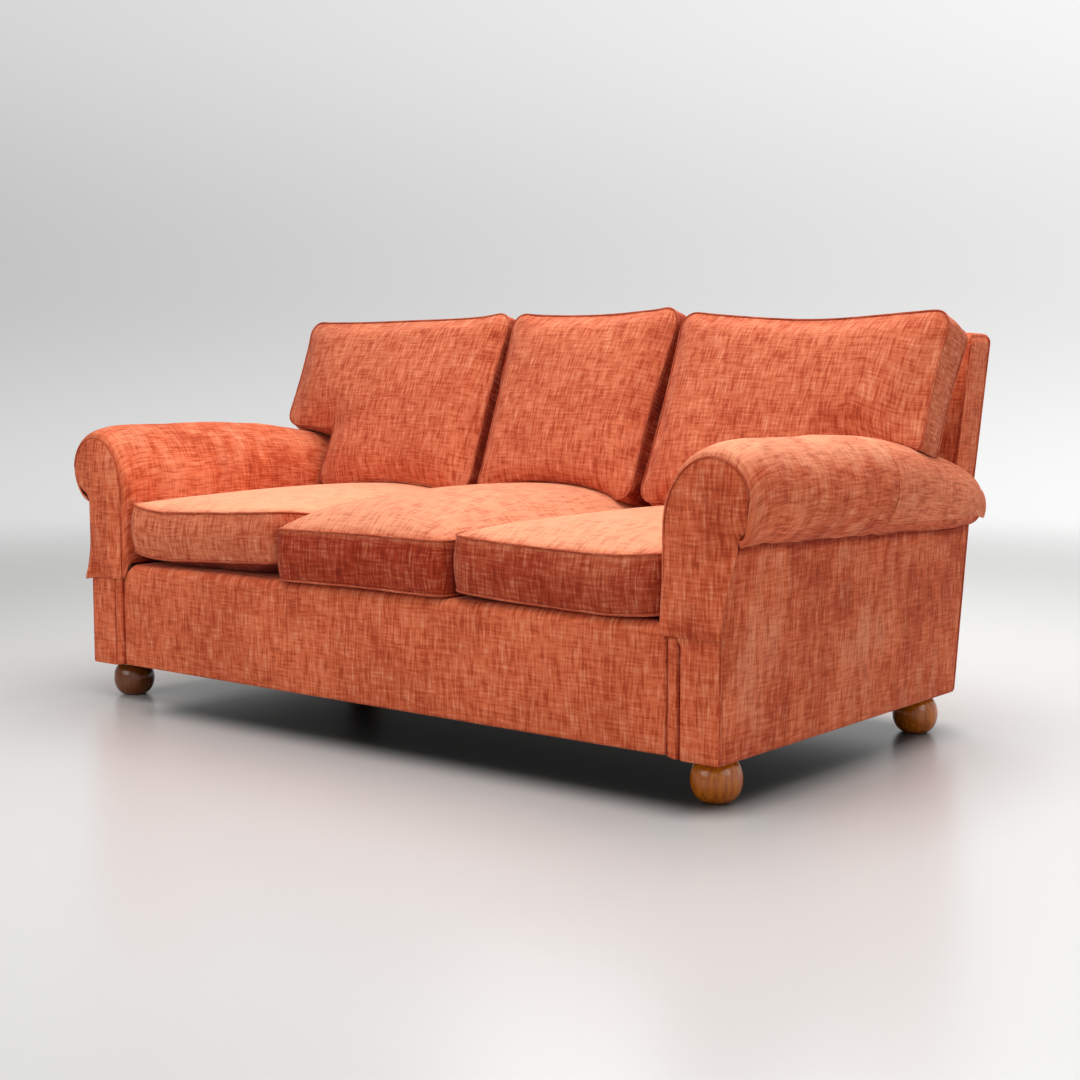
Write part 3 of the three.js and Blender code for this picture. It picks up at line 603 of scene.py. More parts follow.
def turn_out(mesh: Mesh, inner: Vector) -> Mesh:
    """Turns an open sheet's faces away from a point behind it."""
    face_out(mesh)
    facing = 0.0
    for face in mesh.faces:
        facing += (face.calc_center_median() - inner).dot(face.normal) * face.calc_area()
    if facing < 0:
        bmesh.ops.reverse_faces(mesh, faces=mesh.faces[:])
    return mesh


def raised_copy(mesh: Mesh) -> list[bmesh.types.BMVert]:
    """Extrudes a whole sheet, which stays, and returns the vertices of its copy."""
    whole = mesh.faces[:] + mesh.edges[:] + mesh.verts[:]
    raised = bmesh.ops.extrude_face_region(mesh, geom=whole, use_keep_orig=True)["geom"]
    return [item for item in raised if isinstance(item, bmesh.types.BMVert)]


def back_up(mesh: Mesh, shift: Callable[[Vector], Vector]) -> Mesh:
    """Closes a sheet into a panel: its own copy, moved by shift, becomes the back."""
    for vert in raised_copy(mesh):
        vert.co = shift(vert.co)
    return face_out(mesh)


def weld(mesh: Mesh, caps: bool = False) -> Mesh:
    """Closes a sheet whose edges meet, and fills its open ends where asked."""
    merge(mesh)
    if caps:
        fill_holes(mesh, lambda ends: True)
    return face_out(mesh)


def welt_mesh(path: Sequence[Vector], lift: Vector, radius: float, closed: bool = False) -> Mesh:
    """Runs a thin self-covered cord along a path.

    Args:
        path: The points that its middle follows.
        lift: A direction that the path never runs along.
        radius: Half its thickness, in metres.
        closed: Whether it joins up with its own start.

    Returns:
        The cord as a closed tube.
    """
    count = len(path)
    rows = count if closed else count - 1

    def place(across: float, along: float) -> Vector:
        """Returns a point of the cord's surface."""
        index = round(along * rows)
        before = path[(index - 1) % count] if closed else path[max(index - 1, 0)]
        after = path[(index + 1) % count] if closed else path[min(index + 1, count - 1)]
        run = (after - before).normalized()
        side = run.cross(lift).normalized()
        out = side.cross(run).normalized()
        angle = across * math.tau
        return path[index % count] + (side * math.cos(angle) + out * math.sin(angle)) * radius

    # Every welt is painted darker, as shade along its seam.
    return weld(sheet_mesh(WELT_SIDES, rows, place, WELT_PAINTED_SHADE), caps=not closed)


def nearest_surface(pieces: Iterable[Piece]) -> BVHTree:
    """Returns a search tree over the shown shape of some pieces."""
    points: list[Vector] = []
    faces: list[list[int]] = []
    graph = bpy.context.evaluated_depsgraph_get()
    for piece in pieces:
        shape = piece.evaluated_get(graph).to_mesh()
        start = len(points)
        points.extend(vert.co.copy() for vert in shape.vertices)
        faces.extend([start + corner for corner in face.vertices] for face in shape.polygons)
        piece.evaluated_get(graph).to_mesh_clear()
    return BVHTree.FromPolygons(points, faces)


def push_clear(point: Vector, surface: BVHTree, clearance: float) -> Vector:
    """Moves a point out of a closed surface, or off it, to a clearance.

    Args:
        point: The point to move.
        surface: The closed surface.
        clearance: The distance to keep.

    Returns:
        The point, moved where it lay too deep.
    """
    found, normal, _, _ = surface.find_nearest(point, SEARCH_REACH)
    if found is None or (point - found).dot(normal) >= clearance:
        return point
    return found + normal * clearance


def along_table(stations: Stations, share: float) -> float:
    """Reads a value from stations along a run, on a smooth line through all of them.

    Args:
        stations: Rows of share and value, in order.
        share: Where to read it.

    Returns:
        The value there.
    """
    if share <= stations[0][0]:
        return stations[0][1]
    if share >= stations[-1][0]:
        return stations[-1][1]
    count = len(stations)
    slopes = []
    for index in range(count):
        (start, first), (end, last) = stations[max(index - 1, 0)], stations[min(index + 1, count - 1)]
        slopes.append((last - first) / (end - start))
    index = next(k for k in range(1, count) if share <= stations[k][0])
    (start, first), (end, last) = stations[index - 1], stations[index]
    run = end - start
    t = (share - start) / run
    rise = (2 * t ** 3 - 3 * t ** 2 + 1) * first + (3 * t ** 2 - 2 * t ** 3) * last
    lean = (t ** 3 - 2 * t ** 2 + t) * slopes[index - 1] + (t ** 3 - t ** 2) * slopes[index]
    return rise + run * lean


@dataclass(frozen=True)
class Lines:
    """The lines of the sofa's frame that its upholstery is fitted to, in metres."""

    half_width: float = 0.9
    inner_arm: float = 0.771
    arm_front: float = -0.5382147
    arm_run: float = 0.99178
    crease_front: float = 0.479
    crease_rear: float = 0.453
    deck: float = 0.3303
    bottom: float = 0.0833
    back_foot: float = 0.4017853
    back_knee: float = 0.45
    lower_slope: float = 0.15302
    upper_slope: float = 0.22353
    back_thickness: float = 0.095
    back_top: float = 0.868
    left_seam: float = -0.252
    right_seam: float = 0.256

    def back_rear(self, z: float) -> float:
        """Returns the Y of the outside of the back at a height."""
        low = min(z, self.back_knee) - self.bottom
        return self.back_foot + low * self.lower_slope + max(z - self.back_knee, 0) * self.upper_slope

    def back_front(self, z: float) -> float:
        """Returns the Y of the inside of the back at a height."""
        return self.back_rear(z) - self.back_thickness

    def crease(self, y: float) -> float:
        """Returns the height of the crease under the roll at a Y."""
        return lerp(self.crease_front, self.crease_rear, (y - self.arm_front) / self.arm_run)


LINES = Lines()


@dataclass(frozen=True)
class Lamp:
    """A soft rectangular lamp: where it hangs, what it faces, its two sides and its watts."""

    name: str
    place: tuple
    aim: tuple
    size: tuple
    energy: float

    def hang(self) -> None:
        """Puts the lamp in the scene."""
        data = bpy.data.lights.new(self.name, "AREA")
        data.shape = "RECTANGLE"
        data.size, data.size_y = self.size
        data.energy = self.energy
        lamp = put_in_scene(self.name, data)
        lamp.location = self.place
        facing = Vector(self.aim) - Vector(self.place)
        lamp.rotation_euler = facing.to_track_quat("-Z", "Y").to_euler()


@dataclass(frozen=True)
class Studio:
    """The pale room: camera, lamps, backdrop and floor."""

    camera_at: tuple = (2.464, -2.964, 0.75)
    dip_degrees: float = 5.28
    turn_degrees: float = 39.06
    lens: float = 55.37
    sensor: float = 36.0
    lamps: tuple = (
        Lamp("key", (0.45, -0.1, 3.15), (0, -0.02, 0.3), (4.2, 2.7), 112.0),
        Lamp("fill", (-0.9, -3.9, 1.7), (-0.2, 0, 0.4), (2.6, 1.8), 37.0),
        Lamp("side", (3.5, -0.7, 1.5), (0.9, 0, 0.35), (1.8, 1.4), 15.0),
        Lamp("back", (-0.7, 2.5, 3.0), (0, -0.4, 0), (3.4, 1.8), 55.0),
    )
    ambient: float = 0.35
    tone: float = 0.68
    tilt: float = 0.13 / 0.31
    floor_radius: float = 9.0
    floor_drop: float = 0.0004
    floor_colour: tuple = (0.74, 0.74, 0.727, 1)
    fade_start: float = 2.4
    fade_end: float = 6.5
    # Where the floor's painted shadow is centred and how far it reaches.
    shadow_middle: tuple = (0.13, -0.08, 0)
    under_reach: tuple = (0.7, 0.42, 1)

    def build(self) -> None:
        """Sets up the whole studio."""
        bpy.context.scene.view_settings.view_transform = "Standard"
        self.camera()
        for lamp in self.lamps:
            lamp.hang()
        self.world()
        self.floor()

    def camera(self) -> None:
        """Places the camera at the photograph's viewpoint."""
        data = bpy.data.cameras.new("camera")
        data.lens, data.sensor_width = self.lens, self.sensor
        camera = put_in_scene("camera", data)
        camera.location = self.camera_at
        camera.rotation_euler = (math.radians(90 - self.dip_degrees), 0, math.radians(self.turn_degrees))
        bpy.context.scene.camera = camera

    def across(self, graph: Graph, vector: Socket) -> Socket:
        """Returns how far a vector points to the photograph's right."""
        turn = math.radians(self.turn_degrees)
        return graph.vector("DOT_PRODUCT", vector, (math.cos(turn), math.sin(turn), 0))["Value"]

    def world(self) -> None:
        """Lights the room evenly, and shows the camera a pale backdrop."""
        world = bpy.data.worlds.new("room")
        world.use_nodes = True
        bpy.context.scene.world = world
        graph = Graph(world.node_tree)
        direction = graph.node("TexCoord").outputs["Generated"]
        height = graph.node("SeparateXYZ", {0: direction}).outputs[2]
        upper = graph.ramp(height, 0.07, 0.24, 0.0, 0.13)
        lower = graph.ramp(height, 0.06, -0.07, 0.0, 0.155)
        side = graph.times(self.across(graph, direction), self.tilt)
        tone = graph.math("ADD", graph.math("ADD", upper, lower), graph.math("ADD", side, self.tone))
        shown = graph.node("Background", {"Color": graph.mix(tone, BLACK, (1, 1, 0.995, 1))})
        lit = graph.node("Background", {"Color": (1, 0.99, 0.98, 1), "Strength": self.ambient})
        rays = graph.node("LightPath").outputs
        seen = graph.math("MAXIMUM", rays["Is Camera Ray"], rays["Is Glossy Ray"])
        seen = graph.math("MAXIMUM", seen, rays["Is Transmission Ray"])
        graph.show(graph.node("MixShader", {0: seen, 1: lit.outputs[0], 2: shown.outputs[0]}), "World")

    def shade(self, graph: Graph, place: Socket) -> Socket:
        """Returns the share of its paleness that the floor keeps: painted shadow, darkest under the sofa and
        fading round it.
        """
        off = place
        for operation, vector in (("SUBTRACT", self.shadow_middle), ("ABSOLUTE", (0, 0, 0)),
                                  ("SUBTRACT", self.under_reach), ("MAXIMUM", (0, 0, 0))):
            off = graph.vector(operation, off, vector)[0]
        away = graph.vector("LENGTH", off)["Value"]
        return graph.times(graph.ramp(away, 0.0, 0.15, 0.08, 1.0), graph.ramp(away, 0.0, 0.65, 0.88, 1.0))

    def floor(self) -> None:
        """Lays a pale floor that fades into the backdrop, with painted shadow round the sofa and painted
        light that grows towards the right.
        """
        mesh = bmesh.new()
        bmesh.ops.create_circle(mesh, cap_ends=True, segments=96, radius=self.floor_radius)
        bmesh.ops.translate(mesh, verts=mesh.verts[:], vec=(0, 0, -self.floor_drop))
        floor = mesh_object("floor", mesh)
        material = bpy.data.materials.new("studio_floor")
        material.use_nodes = True
        floor.data.materials.append(material)
        graph = Graph(material.node_tree)
        place = graph.own_place()
        # Painted light growing towards the right, times the painted shadow round the sofa.
        side = graph.ramp(self.across(graph, place), -2.4, 1.7, 0.78, 0.92)
        colour = graph.mix(graph.times(side, self.shade(graph, place)), BLACK, self.floor_colour)
        surface = graph.node("BsdfPrincipled", {"Base Color": colour, "Roughness": 0.28})
        away = graph.ramp(graph.vector("LENGTH", place)["Value"], self.fade_start, self.fade_end)
        clear = graph.node("BsdfTransparent")
        graph.show(graph.node("MixShader", {0: away, 1: surface.outputs[0], 2: clear.outputs[0]}))


@dataclass(frozen=True)
class BareFrame:
    """The frame's timber and springs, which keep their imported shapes."""

    steel_word: str = "spring"
    timber_words: tuple = ("rail", "post", "board", "block", "upright")

    def dress(self, workshop: Workshop) -> None:
        """Gives every bare node its finish."""
        for name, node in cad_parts.items():
            is_steel = self.steel_word in name
            if is_steel or any(word in name for word in self.timber_words):
                slot = "spring_steel" if is_steel else "frame_hardwood"
                node.data.materials.clear()
                node.data.materials.append(workshop.materials[slot])
        log.info("the bare frame has its finishes")


@dataclass(frozen=True)
class Roll:
    """The arm's rolled section, which rises and swells along its length."""

    height: float = 0.178
    cover: float = 0.003
    inner: float = 0.774
    outer: float = 0.971
    top_share: float = 0.537
    widest_share: float = 0.475
    inside_share: float = 0.86
    post_side: float = 0.9004
    rises: tuple = ((0, 0.904), (0.025, 0.952), (0.08, 1), (0.26, 1.038), (0.41, 1.053), (0.57, 1.024),
                    (0.74, 0.909), (0.93, 0.723), (0.97, 0.64), (1, 0.52))
    swells: tuple = ((0, 0.93), (0.025, 0.97), (0.08, 1), (0.6, 1), (0.74, 0.97), (0.86, 0.85), (0.95, 0.64),
                     (1, 0.45))
    round_front: float = 0.014
    round_share: float = 0.85
    cells: tuple = (8, 14, 3, 12, 9)
    fineness: int = 2000

    @property
    def post_column(self) -> int:
        """The column that runs along the side of the back."""
        return sum(self.cells[:3])

    @property
    def columns(self) -> int:
        """How many cells the section has."""
        return sum(self.cells)

    def section(self, y: float, spread: float, foot: float) -> Outline:
        """Returns the section's line at a Y, from its inner foot over the roll to the crease.

        Args:
            y: Where along the arm.
            spread: How far it stands off the padding.
            foot: The height that it starts at.

        Returns:
            Points of X and Z for a right arm.
        """
        share = clamped((y - LINES.arm_front) / LINES.arm_run)
        return self.section_at(round(share * self.fineness) / self.fineness, spread, foot)

    def inset(self, y: float) -> float:
        """Returns how far the front corner's rounding draws the roll in at a Y."""
        share = clamped((y - LINES.arm_front) / self.round_front)
        return self.round_front * (1 - math.sqrt(1 - (1 - share) ** 2)) * self.round_share

    @lru_cache(maxsize=None)
    def section_at(self, share: float, spread: float, foot: float) -> Outline:
        """Works out the section's line at a share of the arm's length."""
        crease = LINES.crease(LINES.arm_front + share * LINES.arm_run)
        rise = self.height * along_table(self.rises, share) - self.cover
        top = crease + rise
        widest = crease + rise * self.widest_share
        shoulder = top - rise * self.inside_share
        middle = self.inner + (self.outer - self.inner) * self.top_share
        reach = LINES.half_width + (self.outer - LINES.half_width) * along_table(self.swells, share)
        rise_n, in_n, post_n, out_n, under_n = self.cells
        points = [(self.inner - spread, lerp(foot, shoulder, k / rise_n)) for k in range(rise_n + 1)]
        inside = (middle, shoulder, middle - self.inner + spread, rise * self.inside_share + spread)
        outside = (middle, widest, reach - middle + spread, top - widest + spread)
        post = math.acos(min((self.post_side - middle) / outside[2], 1))
        under = (LINES.half_width, widest, reach - LINES.half_width + spread, widest - crease + spread)
        points += self.arc(inside, math.pi, math.pi / 2, in_n)
        points += self.arc(outside, math.pi / 2, post, post_n)
        points += self.arc(outside, post, 0, out_n)
        points += self.arc(under, 0, -math.pi / 2, under_n)
        return points

    def arc(self, ellipse: tuple, start: float, end: float, count: int) -> Outline:
        """Returns points along part of an ellipse, without its first."""
        x, z, reach, rise = ellipse
        angles = [lerp(start, end, (k + 1) / count) for k in range(count)]
        return [(x + reach * math.cos(angle), z + rise * math.sin(angle)) for angle in angles]


ROLL = Roll()


@dataclass
class RollArm:
    """One roll arm: its padding, front facing, outside panel and slip-on cover."""

    name: str
    side: int
    hem: float = 0.306
    flare: float = 0.0
    slant: float = 0.0
    sway: float = 0.0
    # Painted light and shade on the roll's top and on its side.
    top_painted_light: float = 0.0
    side_painted_light: float = 0.0
    rubbing: float = 0.33
    second_layer: bool = False
    seed: float = 0.0
    core: tuple = (0.86, 0, 0.52)
    strip_waves: Waves = (0.09, 0.0008)
    panel_waves: Waves = (0.14, 0.0012)
    panel_puff: float = 0.0022
    cross_waves: Waves = (0.034, 0.0028)
    broad_waves: Waves = (0.11, 0.0026)
    front_waves: Waves = (0.06, 0.0035)
    flap_waves: Waves = (0.08, 0.0018)
    drag_depth: float = 0.0016
    drag_reach: float = 0.05
    drag_turns: float = 11.5
    # Where the blend from the side's painted light to the top's starts, and how high it runs.
    painted_light_start: float = 0.11
    painted_light_run: float = 0.055
    pad_start: float = 0.0085
    board_back: float = 0.0266
    board_spread: float = -0.0122
    board_side: float = 0.8944
    rail_side: float = 0.7964
    rail_rise: float = 0.0366
    panel_side: float = 0.8951
    tail_side: float = 0.9008
    cover_lead: float = 0.0033
    facing_depth: float = 0.008
    facing_inner: float = 0.8171
    strip: tuple = (0.7843, 0.8166)
    strip_recess: float = 0.0068
    strip_top: float = 0.3045
    sleeve_rows: int = 70
    tail_rows: int = 6
    tail_end: float = 0.448
    pad_tail_end: float = 0.4532
    inside_hem: float = 0.342
    scroll_spread: float = -0.0089
    sleeve_spread: float = 0.003
    under_reach: float = 0.06
    cloth: float = 0.0023
    sleeve_cut: tuple = (0.66, 1.0)
    panel_cut: tuple = (0.2, 0.335)
    panel_area: float = 0.05

    def build(self, workshop: Workshop) -> Piece:
        """Builds every piece of the arm and returns its padding."""
        padding = self.padding(workshop)
        self.facing(workshop)
        self.facing_strip(workshop)
        self.outside(workshop)
        self.cover(workshop)
        return padding

    def at(self, x: float, y: float, z: float) -> Vector:
        """Returns a point of this arm from the right arm's own X."""
        return Vector((self.side * x, y, z))

    def rear(self, column: int, spread: float) -> float:
        """Returns the Y that a column of the section ends at, at the back."""
        index = min(column, ROLL.post_column)
        z = ROLL.section(0.4, spread, self.inside_hem)[index][1]
        return LINES.back_front(z) - 0.0012

    def padding(self, workshop: Workshop) -> Piece:
        """Builds the padded shell over the arm's board and rails, closed round its hollow."""
        front, foot = LINES.arm_front + self.pad_start, LINES.deck + 0.0005
        board_back = LINES.arm_front + self.board_back
        columns, rows = ROLL.columns, 44

        def inner_line(y: float) -> Outline:
            """Returns the hollow's line at a Y: round the board in front, over the rail behind it."""
            if y < board_back:
                drawn = ROLL.section(y, self.board_spread, foot)
                return [(min(x, self.board_side), max(z, foot)) if k < ROLL.cells[0] else (x, z)
                        for k, (x, z) in enumerate(drawn)]
            x, top = self.rail_side, LINES.crease(y) + self.rail_rise
            bends = [(x, foot), (x, top), (self.board_side, top), (self.board_side, LINES.crease(y) + 0.0006)]
            lengths = [math.dist(a, b) for a, b in zip(bends, bends[1:])]
            line = []
            for k in range(columns + 1):
                run = sum(lengths) * k / columns
                leg = 0
                while leg < 2 and run > lengths[leg]:
                    run -= lengths[leg]
                    leg += 1
                # The right arm's top gets strong painted light; the left arm's sides get a little.
                (x0, z0), (x1, z1) = bends[leg], bends[leg + 1]
                share = min(run / lengths[leg], 1)
                line.append((lerp(x0, x1, share), lerp(z0, z1, share)))
            return line

        def place(across: float, along: float) -> Vector:
            """Returns a point of the shell: the roll's own section first, the hollow's after it."""
            k = round(across * (2 * columns + 1))
            column = k if k <= columns else 2 * columns + 1 - k
            row = along * rows
            y = lerp(front, board_back - 0.0004, row / 2) if row < 2.5 else board_back + 0.0004
            if row > 3:
                y = lerp(board_back + 0.0004, self.rear(column, 0), (row - 3) / (rows - 3))
            shown = k <= columns
            x, z = (ROLL.section(y, -round(ROLL.inset(y), 5), foot) if shown else inner_line(y))[column]
            return self.at(x, y, z)

        def ring(across: float, along: float) -> Vector:
            """Returns a point of the shell with its end laid on its start."""
            stretched = across * (2 * columns + 2) / (2 * columns + 1)
            return place(stretched % (1 + 0.5 / (2 * columns + 1)), along)

        mesh = weld(sheet_mesh(2 * columns + 2, rows, ring))
        fill_holes(mesh, lambda ends: ends[0].y < 0)
        fill_holes(mesh, lambda ends: ends[0].y > 0)
        piece = workshop.issue(face_out(mesh), f"{self.name}_arm_wadding",
                               replaces=[f"{self.name}_arm_padding"], rounds=0)
        self.tail_padding(workshop)
        return piece

    def tail_padding(self, workshop: Workshop) -> None:
        """Builds the end of the padding, which runs on past the back's side."""
        start, rows = self.rear(ROLL.columns, 0) + 0.0006, 5
        first = ROLL.post_column
        count = ROLL.columns - first

        def place(across: float, along: float) -> Vector:
            """Returns a point round the tail: along the roll, then down the back's side."""
            y = lerp(start, self.pad_tail_end, along)
            section = ROLL.section(y, -0.0004, self.inside_hem)
            k = round(across * (count + 6))
            if k <= count:
                x, z = section[first + k]
                return self.at(max(x, self.tail_side), y, z)
            top, low = section[first][1], section[-1][1]
            return self.at(self.tail_side, y, lerp(low, top, (k - count) / 6))

        mesh = weld(sheet_mesh(count + 6, rows, place), caps=True)
        piece = workshop.issue(mesh, f"{self.name}_arm_wadding_tail",
                               replaces=[f"{self.name}_arm_padding"], rounds=0)

    def rings(self, outline: Sequence[tuple], spine: tuple, place: Callable, painted_light_and_wear: float) -> Mesh:
        """Fills an outline with rings that shrink towards a spine.

        Args:
            outline: Points of X and Z in order.
            spine: Its lowest and highest point.
            place: Gives the Y of a ring point from its X, Z and share out from the spine.
            painted_light_and_wear: Painted shade below zero and painted light above it, laid on the whole
                sheet.

        Returns:
            The filled sheet.
        """
        shares = (1, 0.985, 0.95, 0.88, 0.78, 0.64, 0.46, 0.26, 0.06)
        (x0, z0), (x1, z1) = spine
        count = len(outline)

        def on_spine(z: float) -> tuple[float, float]:
            """Returns the spine's own point beside a height."""
            near = clamped((z - z0) / (z1 - z0))
            return lerp(x0, x1, near), lerp(z0, z1, near)

        def spot(across: float, along: float) -> Vector:
            """Returns a point of a ring."""
            x, z = outline[round(across * count) % count]
            share = shares[round(along * (len(shares) - 1))]
            sx, sz = on_spine(z)
            px, pz = lerp(sx, x, share), lerp(sz, z, share)
            return self.at(px, place(px, pz, share), pz)

        mesh = sheet_mesh(count, len(shares) - 1, spot, painted_light_and_wear, lambda p: (p.x + self.seed, p.z))
        merge(mesh)
        fill_holes(mesh, lambda ends: all(math.dist((abs(p.x), p.z), on_spine(p.z)) < 0.012 for p in ends))
        return turn_out(mesh, self.at(*self.core))

    def facing(self, workshop: Workshop) -> None:
        """Builds the tight front facing, which shows below the cover's hem."""
        front, low = LINES.arm_front, LINES.bottom
        inner, outer, top = self.facing_inner, LINES.half_width, 0.3306
        high = LINES.crease_front - 0.004
        line = [(inner, lerp(low, 0.3, k / 12)) for k in range(13)]
        line += [(0.7862, 0.3052), (0.7882, top - 0.001)]
        line += ROLL.section(front, -0.0135, top)[1:-1]
        line += [(outer, lerp(high, low, k / 22)) for k in range(23)]
        line += [(lerp(outer, inner, k / 6), low) for k in range(1, 6)]

        def place(x: float, z: float, share: float) -> float:
            """Returns the Y of the facing, which puffs out below the cover's hem."""
            return front - 0.0028 * max(1 - share ** 2, 0) ** 0.6 * (1 - smooth((z - 0.25) / 0.05))

        # A touch of painted shade over the facing.
        mesh = self.rings(line, ((0.8585, 0.125), (0.862, 0.55)), place, -0.05)
        mesh = back_up(mesh, lambda p: Vector((p.x, front + self.facing_depth, p.z)))
        workshop.issue(mesh, f"{self.name}_front_facing", replaces=[f"{self.name}_arm_facing"], crisp=0.75)
        path = [self.at(outer, front + 0.0012, lerp(low + 0.001, high, k / 60)) for k in range(61)]
        workshop.issue(welt_mesh(path, REARWARD, 0.0024), f"{self.name}_front_corner_welt")

    def facing_strip(self, workshop: Workshop) -> None:
        """Builds the narrow folded strip between the front border and the facing."""
        low, high = self.strip
        front = LINES.arm_front + self.strip_recess

        def place(across: float, along: float) -> Vector:
            """Returns a point of the strip, which stands out as a fold in its middle."""
            x = lerp(low, high, across)
            z = lerp(LINES.bottom + 0.0052 * (1 - across), self.strip_top, along)
            fold = 0.0096 * smooth((across - 0.12) / 0.14) * (1 - smooth((across - 0.74) / 0.14))
            crimp = 0.0018 * math.exp(-((across - 0.36) / 0.08) ** 2)
            wave = uneven(self.at(x, 0, z), *self.strip_waves, self.seed)
            return self.at(x, front - fold + crimp + wave, z)

        # Painted shade in the grooves on both sides of the fold, darkest where the strip lies deepest.
        mesh = paint_light_and_shade(sheet_mesh(20, 28, place),
                        lambda p: lerp(-0.1, -1.0, smooth((p.y - front + 0.006) / 0.006)))
        mesh = back_up(mesh, lambda p: Vector((p.x, front + 0.0009, p.z)))
        workshop.issue(mesh, f"{self.name}_facing_strip", replaces=[f"{self.name}_arm_facing"], crisp=0.6)

    def outside(self, workshop: Workshop) -> None:
        """Builds the tight outside arm panel."""
        start = LINES.arm_front + self.pad_start

        def place(across: float, along: float) -> Vector:
            """Returns a point of the panel, which ends on the crease above and on the back's rear edge."""
            base = LINES.bottom
            y = lerp(start, LINES.back_rear(base) - 0.0055, across)
            z = lerp(base, LINES.crease(y) - 0.0012, along)
            y = lerp(start, LINES.back_rear(z) - 0.0055, across)
            edge = smooth(min(across, 1 - across, along * 0.4) * 8)
            puff = self.panel_puff + uneven(Vector((y, z, self.seed)), *self.panel_waves, 1.0)
            return self.at(LINES.half_width + puff * edge, y, z)

        mesh = turn_out(sheet_mesh(60, 30, place), Vector((0, 0, 0.3)))
        # Painted shade in a band just under the crease, where the sleeve's hem overhangs the panel.
        paint_light_and_shade(mesh, lambda p: lerp(-1.0, -0.06, smooth((LINES.crease(p.y) - p.z - 0.012) / 0.016)))
        mesh = wear(mesh, 1.3 * self.rubbing, self.seed + 2)
        mesh = back_up(mesh, lambda p: self.at(self.panel_side, p.y, p.z))
        workshop.issue(mesh, f"{self.name}_outside_panel", replaces=[f"{self.name}_outside_arm"], crisp=0.85)

    def cover(self, workshop: Workshop) -> None:
        """Builds the slip-on cover: sleeve, front panel, the welt between them and the hem's folds."""
        sleeve, panel = (
            workshop.issue(mesh, f"{self.name}_cover_{part}", replaces=[f"{self.name}_arm_cover"],
                           thickness=self.cloth)
            for part, mesh in (("sleeve", self.sleeve()), ("front", self.front_panel()))
        )
        front = LINES.arm_front - 0.0042
        line = ROLL.section(LINES.arm_front, self.scroll_spread, self.hem)
        path = [self.at(x, front, z) for x, z in self.finer(line[2:-ROLL.cells[4]])]
        extra = [workshop.issue(welt_mesh(path, REARWARD, 0.0022), f"{self.name}_cover_welt")]
        if self.second_layer:
            extra.append(workshop.issue(self.rear_flap(), f"{self.name}_cover_flap", thickness=self.cloth))

    def finer(self, line: Stations) -> Outline:
        """Returns a line with a point between each two."""
        points = [line[0]]
        for (x0, z0), (x1, z1) in zip(line, line[1:]):
            points += [((x0 + x1) / 2, (z0 + z1) / 2), (x1, z1)]
        return points

    def foot_line(self, y: float) -> float:
        """Returns the height of the sleeve's inner hem at a Y, down to the front panel's hem in front."""
        away = y - LINES.arm_front
        stations = ((-self.cover_lead, self.hem + 0.001), (0.002, self.hem + 0.003), (0.004, 0.3115),
                    (0.01, 0.325), (0.024, 0.3335), (0.048, self.inside_hem))
        return round(along_table(stations, away), 5)

    def draped(self, k: float, y: float, extra: float = 0.0) -> Vector:
        """Returns where the sleeve's cloth lies on the roll.

        Args:
            k: The column of the section, which may lie between two.
            y: Where along the arm.
            extra: How much further off the roll.
        """
        front, last = LINES.arm_front - self.cover_lead, ROLL.columns
        spread = round(self.sleeve_spread - ROLL.inset(y + self.cover_lead), 5)
        section = ROLL.section(y, spread, self.foot_line(y))
        low = min(int(k), last - 1)
        part = k - low

        def facing(index: int) -> Vector:
            """Returns the way that the section faces at one of its points."""
            before, after = section[max(index - 1, 0)], section[min(index + 1, last)]
            return Vector((-(after[1] - before[1]), 0, after[0] - before[0])).normalized()

        out = facing(low).lerp(facing(low + 1), part)
        x = lerp(section[low][0], section[low + 1][0], part)
        z = lerp(section[low][1], section[low + 1][1], part)
        near = (y - front) / self.drag_reach
        free = smooth(near) * smooth(k / 12)
        ripple = uneven(Vector((y, x * 0.22, z * 0.22)), *self.cross_waves, self.seed)
        swell = uneven(Vector((y, x, z)), *self.broad_waves, self.seed + 3)
        drag = self.drag_depth * math.sin(near * self.drag_turns) * math.exp(-near ** 2)
        loose = smooth((k - ROLL.post_column) / 10)
        lift = max((0.0014 + ripple * (0.35 + loose) + swell) * free + drag * loose, 0.0) + extra
        if k > last - 6:
            hem = (k - (last - 6)) / 6 * (1 - smooth((y - 0.36) / 0.07))
            wave = uneven(Vector((y, 0, self.seed)), 0.07, 1.0, self.seed)
            z -= hem ** 2 * (0.004 + 0.0035 * wave)
            x += hem ** 2 * (0.009 + 0.003 * wave)
        under = smooth((k - (last - 8)) / 8) * (1 - smooth((y - front) / self.under_reach))
        x += self.slant * under
        return self.at(x + out.x * lift, y, z + out.z * lift)

    def sleeve(self) -> Mesh:
        """Shapes the part of the cover that lies over the roll, with its hem and drag lines."""
        front, last = LINES.arm_front - self.cover_lead, ROLL.columns
        rows = self.sleeve_rows + self.tail_rows
        post = ROLL.post_column
        ends = [self.rear(k, self.sleeve_spread) for k in range(last + 1)]

        def place(across: float, along: float) -> Vector:
            """Returns a point of the sleeve, or of its tail past the back's side."""
            k, row = round(across * last), round(along * rows)
            if row <= self.sleeve_rows:
                y = lerp(front, ends[k], (row / self.sleeve_rows) ** 1.4)
            else:
                y = lerp(ends[post], self.tail_end, (row - self.sleeve_rows) / self.tail_rows)
            return self.draped(k, y)

        def painted_light_and_wear(point: Vector) -> float:
            """Returns the painted light and shade at a point, blended from the roll's side to its top."""
            rise = point.z - LINES.crease(point.y)
            return lerp(self.side_painted_light, self.top_painted_light, smooth((rise - self.painted_light_start) / self.painted_light_run))

